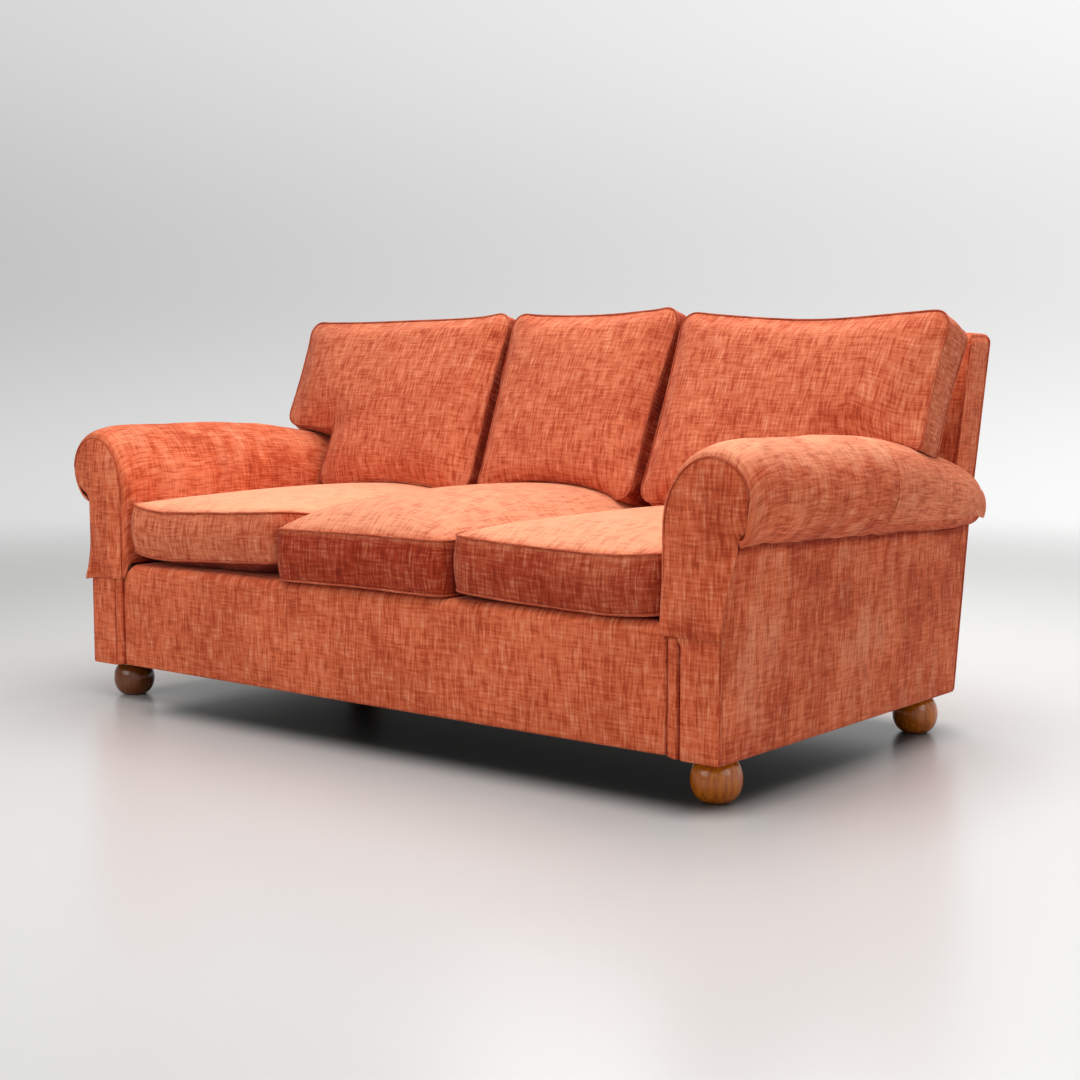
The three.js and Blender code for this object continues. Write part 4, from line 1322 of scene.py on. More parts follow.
        mesh = wear(paint_light_and_shade(sheet_mesh(last, rows, place), painted_light_and_wear), self.rubbing, self.seed)
        drop_faces(mesh, lambda p: p.y > ends[post] + 0.001 and abs(p.x) < ROLL.post_side)
        return turn_out(mesh, self.at(*self.core))

    def front_panel(self) -> Mesh:
        """Shapes the cover's front panel, scrolled at the top and loose at its hem."""
        front, hem = LINES.arm_front - self.cover_lead, self.hem
        scroll = ROLL.section(LINES.arm_front, self.scroll_spread - 0.0004, hem)
        line = []
        for k, (x, z) in enumerate(scroll[:-1]):
            under = smooth((k - (ROLL.columns - 8)) / 8)
            sway = self.sway * (1 - smooth((z - hem) / 0.22)) if k < 16 else 0.0
            line.append((x + (self.slant + 0.003) * under - sway, z + 0.004 * under))
        foot = 0.903
        for k in range(17):
            slanted = lerp(foot + self.slant, foot, smooth(k / 16) ** 0.7)
            line.append((slanted, lerp(LINES.crease_front - 0.002, hem, k / 16)))
        line += [(lerp(foot, line[0][0], k / 10), hem) for k in range(1, 10)]

        def place(x: float, z: float, share: float) -> float:
            """Returns the Y of the panel, which puffs out in its middle and hangs free at its hem."""
            puff = 0.0075 * max(1 - share ** 2.2, 0) ** 0.62
            loose = 1 - smooth((z - hem) / 0.11)
            wave = uneven(Vector((x, z * 0.3, self.seed)), *self.front_waves, self.seed)
            flare = self.flare * smooth((x - 0.86) / 0.045) * loose ** 2
            wrap = 0.0
            if self.slant:
                wrap = 0.35 * max(x - LINES.half_width, 0) * (1 - smooth((z - 0.47) / 0.05))
            fall = (0.001 + max(wave, 0)) * loose + flare - wrap
            return front - puff * (0.35 + 0.65 * smooth((z - hem) / 0.06)) - fall

        # Painted shade over the whole front panel, which faces away from the lamp above.
        mesh = self.rings(line, ((0.838, hem + 0.045), (0.866, 0.565)), place, -0.16)
        for vert in mesh.verts:
            loose = 1 - smooth((vert.co.z - hem) / 0.03)
            out = smooth((abs(vert.co.x) - 0.87) / 0.033)
            vert.co.x += self.side * self.flare * 0.9 * out * loose ** 2
            vert.co.z -= 0.6 * self.flare * out * loose ** 3
        return wear(mesh, self.rubbing, self.seed + 7)

    def rear_flap(self) -> Mesh:
        """Shapes the second layer of cloth that lies folded over the rear of the roll."""
        first, last, rows = ROLL.post_column + 2.0, ROLL.columns - 4.0, 34
        start, end = -0.022, self.tail_end + 0.01

        def place(across: float, along: float) -> Vector:
            """Returns a point of the second layer, tucked under along its inner edge."""
            y = lerp(start + 0.014 * (1 - across) ** 2, end, along)
            k = lerp(first, last - 1.5 * along ** 2, across)
            wave = uneven(Vector((y, across * 0.05, 5)), *self.flap_waves, self.seed + 2)
            shown = smooth(across / 0.4)
            outer = lerp(0.0019, 0.0026, smooth(along * 10))
            extra = lerp(-0.0012, outer, shown) + max(wave, 0) * shown * smooth(along * 8)
            flare = 0.004 * smooth((along - 0.9) / 0.1) * smooth((across - 0.6) / 0.4)
            return self.draped(k, y, extra) + self.at(flare * 0.6, 0, -flare)

        # Painted light over the whole flap.
        return turn_out(sheet_mesh(26, rows, place, 0.2), self.at(*self.core))


@dataclass
class Base:
    """The padded front border, the deck, the dust cloth and the four turned feet."""

    side: float = 0.7837
    front: float = -0.5342
    rail_front: float = -0.5121
    top: float = 0.33
    bottom: float = 0.0873
    lip_back: float = -0.4241
    lip_depth: float = 0.0096
    radius: float = 0.02
    foot_radius: float = 0.0485
    foot_height: float = 0.083
    # The foot that gets painted shade, and how much of it.
    shaded_foot: str = "front_left_foot"
    foot_painted_shade: float = 0.78
    foot_flat: float = 0.017
    foot_power: float = 0.66
    foot_bevel: float = 0.0012
    bevel_angle: float = 0.7
    border_puff: float = 0.0016
    border_waves: Waves = (0.2, 0.0018)
    lip_waves: Waves = (0.12, 0.0012)
    deck_waves: Waves = (0.17, 0.0016)
    deck_edge: float = 0.0035
    cloth_waves: Waves = (0.09, 0.0006)
    cloth_sag: float = 0.006
    stud_radius: float = 0.005
    stud_cut: float = 0.0125
    stud_top: float = 0.117
    foot_spots: tuple = ((0.847, -0.4632147), (0.847, 0.3267853))

    def build(self, workshop: Workshop) -> None:
        """Builds every piece of the base."""
        self.border(workshop)
        self.deck(workshop)
        self.dust_cloth(workshop)
        for word, side in SIDES:
            for (x, y), end in zip(self.foot_spots, ("front", "rear")):
                self.foot(workshop, f"{end}_{word}_foot", side * x, y)

    def border(self, workshop: Workshop) -> None:
        """Builds the border, turned back over the front rail."""
        face, arc, lip = 20, 6, 8
        outline = [(self.front, lerp(self.bottom, self.top - self.radius, k / face)) for k in range(face + 1)]
        for k in range(1, arc + 1):
            angle = math.pi / 2 * k / arc
            y = self.front + self.radius * (1 - math.cos(angle))
            outline.append((y, self.top - self.radius + self.radius * math.sin(angle)))
        start = self.front + self.radius
        outline += [(lerp(start, self.lip_back, k / lip), self.top) for k in range(1, lip + 1)]
        shown = len(outline)
        under = self.top - self.lip_depth
        outline += [(lerp(self.lip_back, self.rail_front, k / lip), under) for k in range(lip + 1)]
        outline += [(self.rail_front, lerp(under, self.bottom, k / face)) for k in range(1, face + 1)]
        outline += [(lerp(self.rail_front, self.front, k / 3), self.bottom) for k in (1, 2)]
        count = len(outline)

        def place(across: float, along: float) -> Vector:
            """Returns a point of the border: round its section across, along its length."""
            k = round(across * count) % count
            y, z = outline[k]
            x = lerp(-self.side, self.side, along)
            end = smooth((self.side - abs(x)) / 0.05)
            if k < shown:
                edge = smooth((z - self.bottom) / 0.04) * smooth((self.top - z) / 0.02)
                y -= (self.border_puff + uneven(Vector((x, z, 0)), *self.border_waves, 8.0)) * edge * end
                corner = 1 - smooth((self.side - abs(x)) / 0.034)
                z -= 0.02 * corner ** 2 * smooth((z - 0.26) / 0.06)
                if z > self.top - 0.001:
                    z -= 0.0004 + abs(uneven(Vector((x, y, 0)), *self.lip_waves, 3.0))
            return Vector((x, y, z))

        # A touch of painted shade over the whole border.
        mesh = weld(sheet_mesh(count, 120, place, -0.03, lambda p: (p.x, p.z - p.y)), caps=True)
        piece = workshop.issue(mesh, "border_panel", replaces=["front_border"], crisp=0.85)

    def deck(self, workshop: Workshop) -> None:
        """Builds the padded deck that the seat cushions lie on."""
        start, end = self.lip_back + 0.0006, LINES.back_front(LINES.deck) + 0.0704
        top, low = 0.3298, 0.3204

        def place(across: float, along: float) -> Vector:
            """Returns a point of the deck's upper side."""
            x, y = lerp(-self.side, self.side, across), lerp(start, end, along)
            edge = inward(across, 30) * inward(along, 16)
            dip = self.deck_edge * (1 - edge) + abs(uneven(Vector((x, y, 0)), *self.deck_waves, 6.0))
            return Vector((x, y, top - dip))

        mesh = back_up(sheet_mesh(70, 36, place), lambda p: Vector((p.x, p.y, low)))
        piece = workshop.issue(mesh, "deck_pad", "deck_cloth", replaces=["seat_deck"], crisp=0.8)

    def dust_cloth(self, workshop: Workshop) -> None:
        """Stretches the dust cloth under the frame, cut round the feet's studs."""
        reach, start, end = 0.883, -0.4997, 0.3843

        def place(across: float, along: float) -> Vector:
            """Returns a point of the cloth, which sags in its middle."""
            x, y = lerp(-reach, reach, across), lerp(start, end, along)
            sag = self.cloth_sag * math.sin(math.pi * across) * math.sin(math.pi * along)
            return Vector((x, y, 0.0849 - sag + uneven(Vector((x, y, 0)), *self.cloth_waves, 9.0)))

        mesh = sheet_mesh(116, 58, place)
        spots = [Vector((side * x, y)) for x, y in self.foot_spots for side in (-1, 1)]
        drop_faces(mesh, lambda p: any((p.xy - spot).length < self.stud_cut for spot in spots))
        piece = workshop.issue(turn_out(mesh, Vector((0, 0, 1))), "dust_cover", "lining_cloth",
                               replaces=["dust_cloth"], thickness=0.0012)

    def foot(self, workshop: Workshop, name: str, x: float, y: float) -> None:
        """Turns one ball foot with its steel stud."""
        mesh = bmesh.new()
        start = math.asin(self.foot_flat / self.foot_radius)
        half = self.foot_height / 2
        profile = [(0.0, 0.0)]
        for k in range(27):
            angle = lerp(-math.pi / 2 + start, math.pi / 2 - start, k / 26)
            radius = self.foot_radius * math.cos(angle) ** self.foot_power
            profile.append((radius, half + half * math.sin(angle) / math.cos(start)))
        radius, top = self.stud_radius, self.stud_top
        profile += [(radius, self.foot_height), (radius, top), (0.0, top)]
        verts = [mesh.verts.new((x + r, y, z)) for r, z in profile]
        edges = [mesh.edges.new(pair) for pair in zip(verts, verts[1:])]
        bmesh.ops.spin(mesh, geom=verts + edges, cent=(x, y, 0), axis=(0, 0, 1), angle=math.tau, steps=64,
                       use_merge=True)
        weld(mesh)
        bevels = [edge for edge in mesh.edges if edge.calc_face_angle(0) > self.bevel_angle]
        bmesh.ops.bevel(mesh, geom=bevels, affect="EDGES", offset=self.foot_bevel, segments=2, profile=0.5,
                        material=-1)
        # Paints shade on the foot that the sofa's shadow falls over.
        if name == self.shaded_foot:
            stain_and_shade = mesh.verts.layers.float.new(FOOT_SHADE_LAYER)
            for vert in mesh.verts:
                vert[stain_and_shade] = self.foot_painted_shade
        workshop.issue(mesh, f"{name}_turning", "varnished_wood", replaces=[name], rounds=0)


@dataclass
class Back:
    """The upholstered back: a padded inside with a rolled top, a flat outside and a facing on each side."""

    top_radius: float = 0.018
    pad_side: float = 0.8946
    panel: float = 0.005
    pad_depth: float = 0.0232
    panel_top: float = 0.863
    welt: float = 0.0027
    corner: float = 0.018
    pad_waves: Waves = (0.2, 0.0012)
    panel_waves: Waves = (0.22, 0.0014)
    panel_puff: float = 0.0016
    side_waves: Waves = (0.08, 0.0012)
    side_puff: float = 0.003

    def drop(self, x: float) -> float:
        """Returns how far the rounded corners lower the top at an X."""
        over = max(abs(x) - (LINES.half_width - self.corner), 0)
        return self.corner - math.sqrt(max(self.corner ** 2 - over ** 2, 0))

    def build(self, workshop: Workshop) -> Piece:
        """Builds every piece of the back and returns the inside."""
        inside = self.inside(workshop)
        self.outside(workshop)
        for word, side in SIDES:
            self.facing(workshop, word, side)
        return inside

    def inside(self, workshop: Workshop) -> Piece:
        """Builds the padded inside back, from the deck up and over the top."""
        low, high, radius = LINES.deck + 0.001, LINES.back_top, self.top_radius
        face, arc, over = 34, 6, 5
        rest = self.panel + 0.0008

        def outline(k: int) -> tuple[float, float]:
            """Returns the Y and Z of one point round the padding's section."""
            if k <= face:
                z = lerp(low, high - radius, k / face)
                return LINES.back_front(z), z
            if k <= face + arc:
                angle = math.pi / 2 * (k - face) / arc
                z = high - radius + radius * math.sin(angle)
                return LINES.back_front(z) + radius * (1 - math.cos(angle)), z
            share = (k - face - arc) / over
            start = LINES.back_front(high) + radius
            return lerp(start, LINES.back_rear(high) - rest, share), high - 0.0008 * share

        def place(across: float, along: float) -> Vector:
            """Returns a point of the padding's front and rolled top."""
            y, z = outline(round(along * (face + arc + over)))
            x = crowded(across, self.pad_side)
            side = smooth((self.pad_side - abs(x)) / 0.05)
            y += 0.0028 * (1 - side) * smooth((z - 0.5) / 0.1)
            y -= uneven(Vector((x, y, z)), *self.pad_waves, 2.0) * side
            return Vector((x, y, z - self.drop(x) * smooth((z - 0.8) / 0.05)))

        def behind(point: Vector) -> Vector:
            """Returns the point of the padding's back, against the frame."""
            deep = LINES.back_front(point.z) + self.pad_depth
            if point.z > high - radius:
                top = smooth((point.z - (high - radius)) / radius)
                return Vector((point.x, max(deep, point.y), point.z - 0.0172 * top))
            return Vector((point.x, deep, point.z))

        # A touch of painted shade over the inside back.
        mesh = sheet_mesh(100, face + arc + over, place, -0.02)
        arm_top = LINES.crease_front + 0.0375
        drop_faces(mesh, lambda p: abs(p.x) > 0.8 and p.z < arm_top)
        piece = workshop.issue(back_up(mesh, behind), "inside_back_pad", replaces=["inside_back"], crisp=0.7)
        return piece

    def outside(self, workshop: Workshop) -> None:
        """Builds the flat outside back with a welt round it."""
        low, high, reach = LINES.bottom, self.panel_top, LINES.half_width

        def place(across: float, along: float) -> Vector:
            """Returns a point of the panel's outer side."""
            x = crowded(across, reach)
            z = lerp(low, high, along)
            z -= self.drop(x) * smooth((z - 0.8) / 0.05)
            edge = inward(across, 24) * inward(along, 12)
            puff = self.panel_puff + uneven(Vector((x, z, 0)), *self.panel_waves, 4.0)
            return Vector((x, LINES.back_rear(z) + puff * edge, z))

        mesh = back_up(sheet_mesh(90, 44, place),
                       lambda p: Vector((p.x, LINES.back_rear(p.z) - self.panel, p.z)))
        workshop.issue(mesh, "outside_back_panel", replaces=["outside_back"], crisp=0.85)
        radius, rise = self.corner, high - self.corner
        turns = [math.pi / 2 * k / 8 for k in range(9)]
        arc = [(math.cos(turn) * radius, math.sin(turn) * radius) for turn in turns]
        path = [Vector((-reach, 0, lerp(low + 0.002, rise, k / 60))) for k in range(60)]
        path += [Vector((-reach + radius - x, 0, rise + z)) for x, z in arc]
        path += [Vector((lerp(-reach, reach, k / 120), 0, high)) for k in range(2, 119)]
        path += [Vector((reach - radius + x, 0, rise + z)) for x, z in reversed(arc)]
        path += [Vector((reach, 0, lerp(rise, low + 0.002, k / 60))) for k in range(1, 61)]
        for point in path:
            point.y = LINES.back_rear(point.z) - 0.0004
        workshop.issue(welt_mesh(path, REARWARD, self.welt), "outside_back_welt")

    def facing(self, workshop: Workshop, word: str, side: int) -> None:
        """Builds the narrow side panel of the back, above the arm."""
        outer = LINES.half_width

        def place(across: float, along: float) -> Vector:
            """Returns a point of the panel; its Y settles in a few rounds, since the crease slopes."""
            y = 0.0
            for _ in range(3):
                low = LINES.crease(y) + 0.0012
                z = lerp(low, self.panel_top - 0.001, along)
                start, end = LINES.back_front(z), LINES.back_rear(z) - 0.0049
                start += self.top_radius * smooth((z - 0.84) / 0.018)
                y = lerp(start, end, across)
            edge = inward(across, 5)
            puff = (self.side_puff + uneven(Vector((y, z, side)), *self.side_waves, 7.0)) * edge
            over = max(z - (self.panel_top - self.corner), 0)
            bend = self.corner - math.sqrt(self.corner ** 2 - over ** 2) + 0.0012 * smooth(over / 0.008)
            return Vector((side * (outer + puff - bend), y, z))

        # A touch of painted light over the side panel.
        mesh = turn_out(sheet_mesh(12, 40, place, 0.04), Vector((0, 0, 0.6)))
        mesh = back_up(mesh, lambda p: Vector((side * (min(abs(p.x) - 0.002, outer - self.panel)), p.y, p.z)))
        workshop.issue(mesh, f"{word}_back_side", replaces=[f"{word}_back_facing"], crisp=0.85)
        path = []
        for k in range(81):
            z = lerp(0.47, 0.846, k / 80)
            lead = self.top_radius * smooth((z - 0.838) / 0.018)
            path.append(Vector((side * (outer - 0.0006), LINES.back_front(z) + lead - 0.0002, z)))
        workshop.issue(welt_mesh(path, Vector((1, 0, 0)), self.welt), f"{word}_back_facing_welt")


@dataclass
class BoxedCushion:
    """A loose cushion: two panels sewn to a band, filled until it rounds, with a welt on both seams."""

    name: str
    low: float
    high: float
    reach: float
    boxing: float
    crown: float
    seed: float
    foot_low: float | None = None
    foot_high: float | None = None
    wing: float = 0.168
    corner: float = 0.03
    draw: float = 0.006
    bulge: float = 0.007
    under_crown: float = 0.0
    under_flat: float = 0.0
    cell: float = 0.0125
    band_rows: int = 8
    swell: float = 0.012
    slack: float = -0.02
    crown_power: float = 0.6
    welt: float = 0.0029
    welt_sink: float = 0.45
    fill: float = 0.75
    # Painted light on the top panel; painted shade on the band and on the underside.
    top_painted_light: float = 0.0
    band_painted_shade: float = 0.0
    under_painted_shade: float = 0.0
    low_line: Stations = STRAIGHT
    high_line: Stations = STRAIGHT
    start_line: Stations = STRAIGHT
    end_line: Stations = STRAIGHT
    wing_drop: float = 0.0
    # Painted shade on the band's left and right flanks.
    flank_painted_shades: tuple[float, float] | None = None
    tip_squash: tuple[float, float] = (0.0, 0.0)
    seam_swell: float = 0.003
    seam_crease: float = 0.55
    band_swell: float = 0.008
    rest: list[Vector] = field(default_factory=list)
    caps: list[float] = field(default_factory=list)
    spots: dict = field(default_factory=dict)

    def __post_init__(self) -> None:
        """Works out the lattice that the panels are cut on."""
        self.has_wings = self.foot_low is not None or self.foot_high is not None
        across = [self.low, self.high]
        if self.foot_low is not None:
            across.insert(1, self.foot_low)
        if self.foot_high is not None:
            across.insert(-1, self.foot_high)
        along = [0.0, self.wing, self.reach] if self.has_wings else [0.0, self.reach]
        self.columns = self.spread(across)
        self.rows = self.spread(along)
        self.left_cells = round((across[1] - across[0]) / self.cell) if self.foot_low is not None else 0
        self.right_cells = round((across[-1] - across[-2]) / self.cell) if self.foot_high is not None else 0
        self.wing_cells = round(self.wing / self.cell) if self.has_wings else 0

    def spread(self, breaks: Sequence[float]) -> list[float]:
        """Divides a run evenly between its breaks, in cells of about one size."""
        points = [breaks[0]]
        for start, end in zip(breaks, breaks[1:]):
            count = round((end - start) / self.cell)
            points.extend(lerp(start, end, (k + 1) / count) for k in range(count))
        return points

    def inside(self, i: int, j: int) -> bool:
        """Tells whether a lattice point belongs to the panel."""
        if j >= self.wing_cells:
            return True
        return self.left_cells <= i <= len(self.columns) - 1 - self.right_cells

    def outline(self) -> list[tuple[int, int]]:
        """Returns the lattice points round the panel, in order."""
        last, top = len(self.columns) - 1, len(self.rows) - 1
        stops = [(self.left_cells, 0), (last - self.right_cells, 0)]
        if self.right_cells:
            stops += [(last - self.right_cells, self.wing_cells), (last, self.wing_cells)]
        stops += [(last, top), (0, top)]
        if self.left_cells:
            stops += [(0, self.wing_cells), (self.left_cells, self.wing_cells)]
        points = []
        for (i0, j0), (i1, j1) in zip(stops, stops[1:] + stops[:1]):
            steps = abs(i1 - i0) + abs(j1 - j0)
            points.extend((i0 + (i1 - i0) * k // steps, j0 + (j1 - j0) * k // steps) for k in range(steps))
        return points

    def crown_field(self) -> np.ndarray:
        """Returns how far each lattice point rises, from 0 at the seam to 1 at the crown."""
        count = (len(self.columns), len(self.rows))
        free = np.array([[self.inside(i, j) for j in range(count[1])] for i in range(count[0])], float)
        for i, j in self.outline():
            free[i, j] = 0
        rise = np.zeros(count)
        for _ in range(1800):
            padded = np.pad(rise, 1)
            mean = (padded[:-2, 1:-1] + padded[2:, 1:-1] + padded[1:-1, :-2] + padded[1:-1, 2:]) / 4
            rise = (mean + self.cell ** 2) * free
        return (rise / rise.max()) ** self.crown_power

    def rim(self, across: float, along: float) -> float:
        """Returns how far the seams are lifted at a share across and along."""
        return 0.0

    def squash(self, flat: Vector) -> float:
        """Returns how far a wing's rear seam is pressed towards its front seam."""
        if not self.has_wings:
            return 0.0
        out = max(self.inner_edge(False) - flat.x, flat.x - self.inner_edge(True))
        share = smooth((out + 0.1) / 0.26)
        height = clamped((flat.y - self.wing) / (self.reach - self.wing))
        return self.boxing * lerp(*self.tip_squash, height) * share

    def flat_place(self, i: int, j: int) -> Vector:
        """Returns where a lattice point of the panel lies, its corners rounded and its sides drawn in."""
        x, y = self.columns[i], self.rows[j]
        low = self.foot_low if self.foot_low is not None and j < self.wing_cells else self.low
        high = self.foot_high if self.foot_high is not None and j < self.wing_cells else self.high
        x0, x1, y0, y1 = low, high, 0.0, self.reach
        if j >= self.wing_cells and not self.left_cells <= i <= len(self.columns) - 1 - self.right_cells:
            y0 = self.wing
        radius = self.corner
        near_x = max(radius - (x - x0), 0) - max(radius - (x1 - x), 0)
        near_y = max(radius - (y - y0), 0) - max(radius - (y1 - y), 0)
        if near_x and near_y:
            a, b = abs(near_x) / radius, abs(near_y) / radius
            round_a = a * math.sqrt(max(1 - b * b / 2, 0))
            round_b = b * math.sqrt(max(1 - a * a / 2, 0))
            x += math.copysign((a - round_a) * radius, near_x)
            y += math.copysign((b - round_b) * radius, near_y)
        share_x = (x - x0) / (x1 - x0)
        share_y = (y - y0) / (y1 - y0)
        whole_y = y / self.reach
        whole_x = (x - self.low) / (self.high - self.low)
        left = x0 + self.draw * math.sin(math.pi * share_y) + along_table(self.low_line, whole_y)
        right = x1 - self.draw * math.sin(math.pi * share_y) - along_table(self.high_line, whole_y)
        front = y0 + self.draw * math.sin(math.pi * share_x) + along_table(self.start_line, whole_x)
        if y0:
            out = max(self.inner_edge(False) - x, x - self.inner_edge(True), 0)
            front -= self.wing_drop * smooth(out / 0.15)
        rear = y1 - self.draw * math.sin(math.pi * share_x) - along_table(self.end_line, whole_x)
        return Vector((lerp(left, right, share_x), lerp(front, rear, share_y), 0))

    def inner_edge(self, is_high: bool) -> float:
        """Returns the X that a wing starts at, on one side."""
        if is_high:
            return self.high if self.foot_high is None else self.foot_high
        return self.low if self.foot_low is None else self.foot_low

    def outward(self, i: int, j: int) -> Vector:
        """Returns the direction that the band faces at a point of the outline."""
        last, top = len(self.columns) - 1, len(self.rows) - 1
        way = Vector((0, 0, 0))
        if i == 0 or (j < self.wing_cells and i == self.left_cells):
            way.x -= 1
        if i == last or (j < self.wing_cells and i == last - self.right_cells):
            way.x += 1
        if j == 0 or (j == self.wing_cells and (i < self.left_cells or i > last - self.right_cells)):
            way.y -= 1
        if j == top:
            way.y += 1
        return way.normalized()

    def cut(self) -> Mesh:
        """Cuts and sews the cushion as a flat box of cells, with its cloth coordinates."""
        columns = len(self.columns) - 1
        mesh = flat_grid(columns, len(self.rows) - 1)
        drop_faces(mesh, lambda p: p.y < self.wing_cells
                   and not self.left_cells < p.x < columns - self.right_cells)
        bmesh.ops.translate(mesh, verts=raised_copy(mesh), vec=(0, 0, self.band_rows))
        uprights = [edge for edge in mesh.edges if edge.verts[0].co.z != edge.verts[1].co.z]
        bmesh.ops.subdivide_edges(mesh, edges=uprights, cuts=self.band_rows - 1, use_grid_fill=True)
        uv = face_out(mesh).loops.layers.uv[UV_NAME]
        step = self.boxing / self.band_rows
        for face in mesh.faces:
            for loop in face.loops:
                spot = loop.vert.co
                x, y, z = spot.x * self.cell, spot.y * self.cell, spot.z * step
                if abs(face.normal.z) > 0.5:
                    loop[uv].uv = (x + self.seed, y + self.seed * 0.6 + z)
                elif abs(face.normal.y) > 0.5:
                    loop[uv].uv = (x + self.seed * 2.3, z - self.seed)
                else:
                    loop[uv].uv = (y + self.seed * 3.1, z - self.seed)
        return mesh

    def shape(self, mesh: Mesh) -> None:
        """Moves every cell of the box to the cushion's own rest shape."""
        crown = self.crown_field()
        pile = mesh.verts.layers.float[LIGHT_AND_WEAR_LAYER]
        seam = mesh.edges.layers.float.new(CREASE_NAME)
        for vert in mesh.verts:
            vert.co = Vector((round(vert.co.x), round(vert.co.y), round(vert.co.z)))
        for edge in mesh.edges:
            levels = {vert.co.z for vert in edge.verts}
            on_rim = all(self.outward(int(vert.co.x), int(vert.co.y)).length for vert in edge.verts)
            if on_rim and levels in ({0.0}, {float(self.band_rows)}):
                edge[seam] = self.seam_crease
        mesh.verts.index_update()
        for vert in mesh.verts:
            i, j, level = int(vert.co.x), int(vert.co.y), int(vert.co.z)
            self.spots[(i, j, level)] = vert.index
            flat = self.flat_place(i, j)
            across, along = i / (len(self.columns) - 1), j / (len(self.rows) - 1)
            rim = self.rim(across, along)
            up = level / self.band_rows
            height = crown[i, j]
            low = rim + self.squash(flat)
            if level == self.band_rows:
                flat.z = lerp(self.boxing + rim, self.boxing + self.crown, height)
                # Painted light and shade on the top panel, fading in from its seam.
                vert[pile] = self.top_painted_light * smooth(height * 3.5)
                self.caps.append(lerp(self.seam_swell, self.swell, smooth(height * 1.8)))
            elif level == 0:
                flat.z = lerp(low, low - rim - self.under_crown, smooth(height * 1.9 - self.under_flat))
                # Painted shade on the underside: the band's own, deepening towards the middle.
                vert[pile] = self.band_painted_shade + self.under_painted_shade * smooth(height * 5)
                self.caps.append(lerp(self.seam_swell, self.swell, smooth(height * 1.8)))
            else:
                flat.z = lerp(low, rim + self.boxing, up)
                way = self.outward(i, j)
                flat += way * self.bulge * math.sin(math.pi * up)
                # Painted shade on the band, with each flank's own where given.
                vert[pile] = self.band_painted_shade
                if self.flank_painted_shades and abs(way.x) > 0.5:
                    vert[pile] = self.flank_painted_shades[way.x > 0]
                self.caps.append(lerp(self.seam_swell, self.band_swell, math.sin(math.pi * up)))
            vert.co = flat

    def loosen(self) -> Piece:
        """Makes the cushion's object, ready to be filled."""
        mesh = self.cut()
        self.shape(mesh)
        piece = mesh_object(self.name, mesh)
        self.rest = [vert.co.copy() for vert in piece.data.vertices]
        return piece

    def settle(self, rest: Vector, moved: Vector, cap: float) -> Vector:
        """Caps how far filling has moved one point, and keeps it off what stands beside it."""
        step = moved - rest
        if step.length > cap:
            step = step * (cap / step.length)
        point = rest + step
        point.x = min(max(point.x, self.low), self.high)
        return point

    def place(self, point: Vector) -> Vector:
        """Returns where a point of the loose cushion lies on the sofa."""
        return point

    def welts(self, workshop: Workshop, piece: Piece, body: str) -> None:
        """Sews a welt round the upper and the lower seam."""
        shown = piece.evaluated_get(bpy.context.evaluated_depsgraph_get())
        points = shown.to_mesh().vertices

        def seam(level: int) -> list[Vector]:
            """Returns the shown points round the cushion at one level of the band."""
            return [points[self.spots[(i, j, level)]].co for i, j in self.outline()]

        top = self.band_rows
        lower, upper = seam(0), seam(top)
        middle = sum(lower, Vector()) / len(lower)
        lift = (upper[0] - lower[0]).normalized()
        for word, edge, band in (("upper", upper, seam(top - 1)), ("lower", lower, seam(1))):
            path = []
            for at, near in zip(edge, band):
                away = (at - near).normalized() + (at - middle).normalized()
                path.append(at + away.normalized() * self.welt * self.welt_sink)
            cord = welt_mesh(path, lift, self.welt, closed=True)
            workshop.issue(cord, f"{self.name}_{word}_welt", "cushion_fabric", body)
        shown.to_mesh_clear()


@dataclass
class SeatCushion(BoxedCushion):
    """A seat cushion on the deck, its front edge lifted where it has been sat on."""

    front: float = -0.538
    front_lift: Stations = STRAIGHT
    lift_reach: float = 0.3
    rim_lift: float = 0.006

    def rim(self, across: float, along: float) -> float:
        """Returns the lift of the seams: the front's own line, fading to a small lift elsewhere."""
        fade = 1 - smooth(along * self.reach / self.lift_reach)
        return lerp(self.rim_lift, along_table(self.front_lift, across), fade)

    def settle(self, rest: Vector, moved: Vector, cap: float) -> Vector:
        """Caps the movement, and keeps the cushion on its deck."""
        point = super().settle(rest, moved, cap)
        point.z = max(point.z, 0.0)
        return point

    def place(self, point: Vector) -> Vector:
        """Returns a point moved onto the deck."""
        return Vector((point.x, point.y + self.front, point.z + LINES.deck))


@dataclass
class BackCushion(BoxedCushion):
    """A back cushion that stands on the seat and leans on the back."""

    turn_degrees: float = 0.0
    pivot: float = 0.0
    lean_degrees: float = 22.2
    foot_y: float = 0.1028
    foot_z: float = 0.487

    def place(self, point: Vector) -> Vector:
        """Returns a point stood up, turned on its foot and leant back."""
        local = Vector((point.x - self.pivot, point.y, point.z - self.boxing))
        stand = Matrix.Rotation(math.radians(90 - self.lean_degrees), 3, "X")
        turn = Matrix.Rotation(math.radians(self.turn_degrees), 3, "Z")
        return turn @ (stand @ local) + Vector((self.pivot, self.foot_y, self.foot_z))


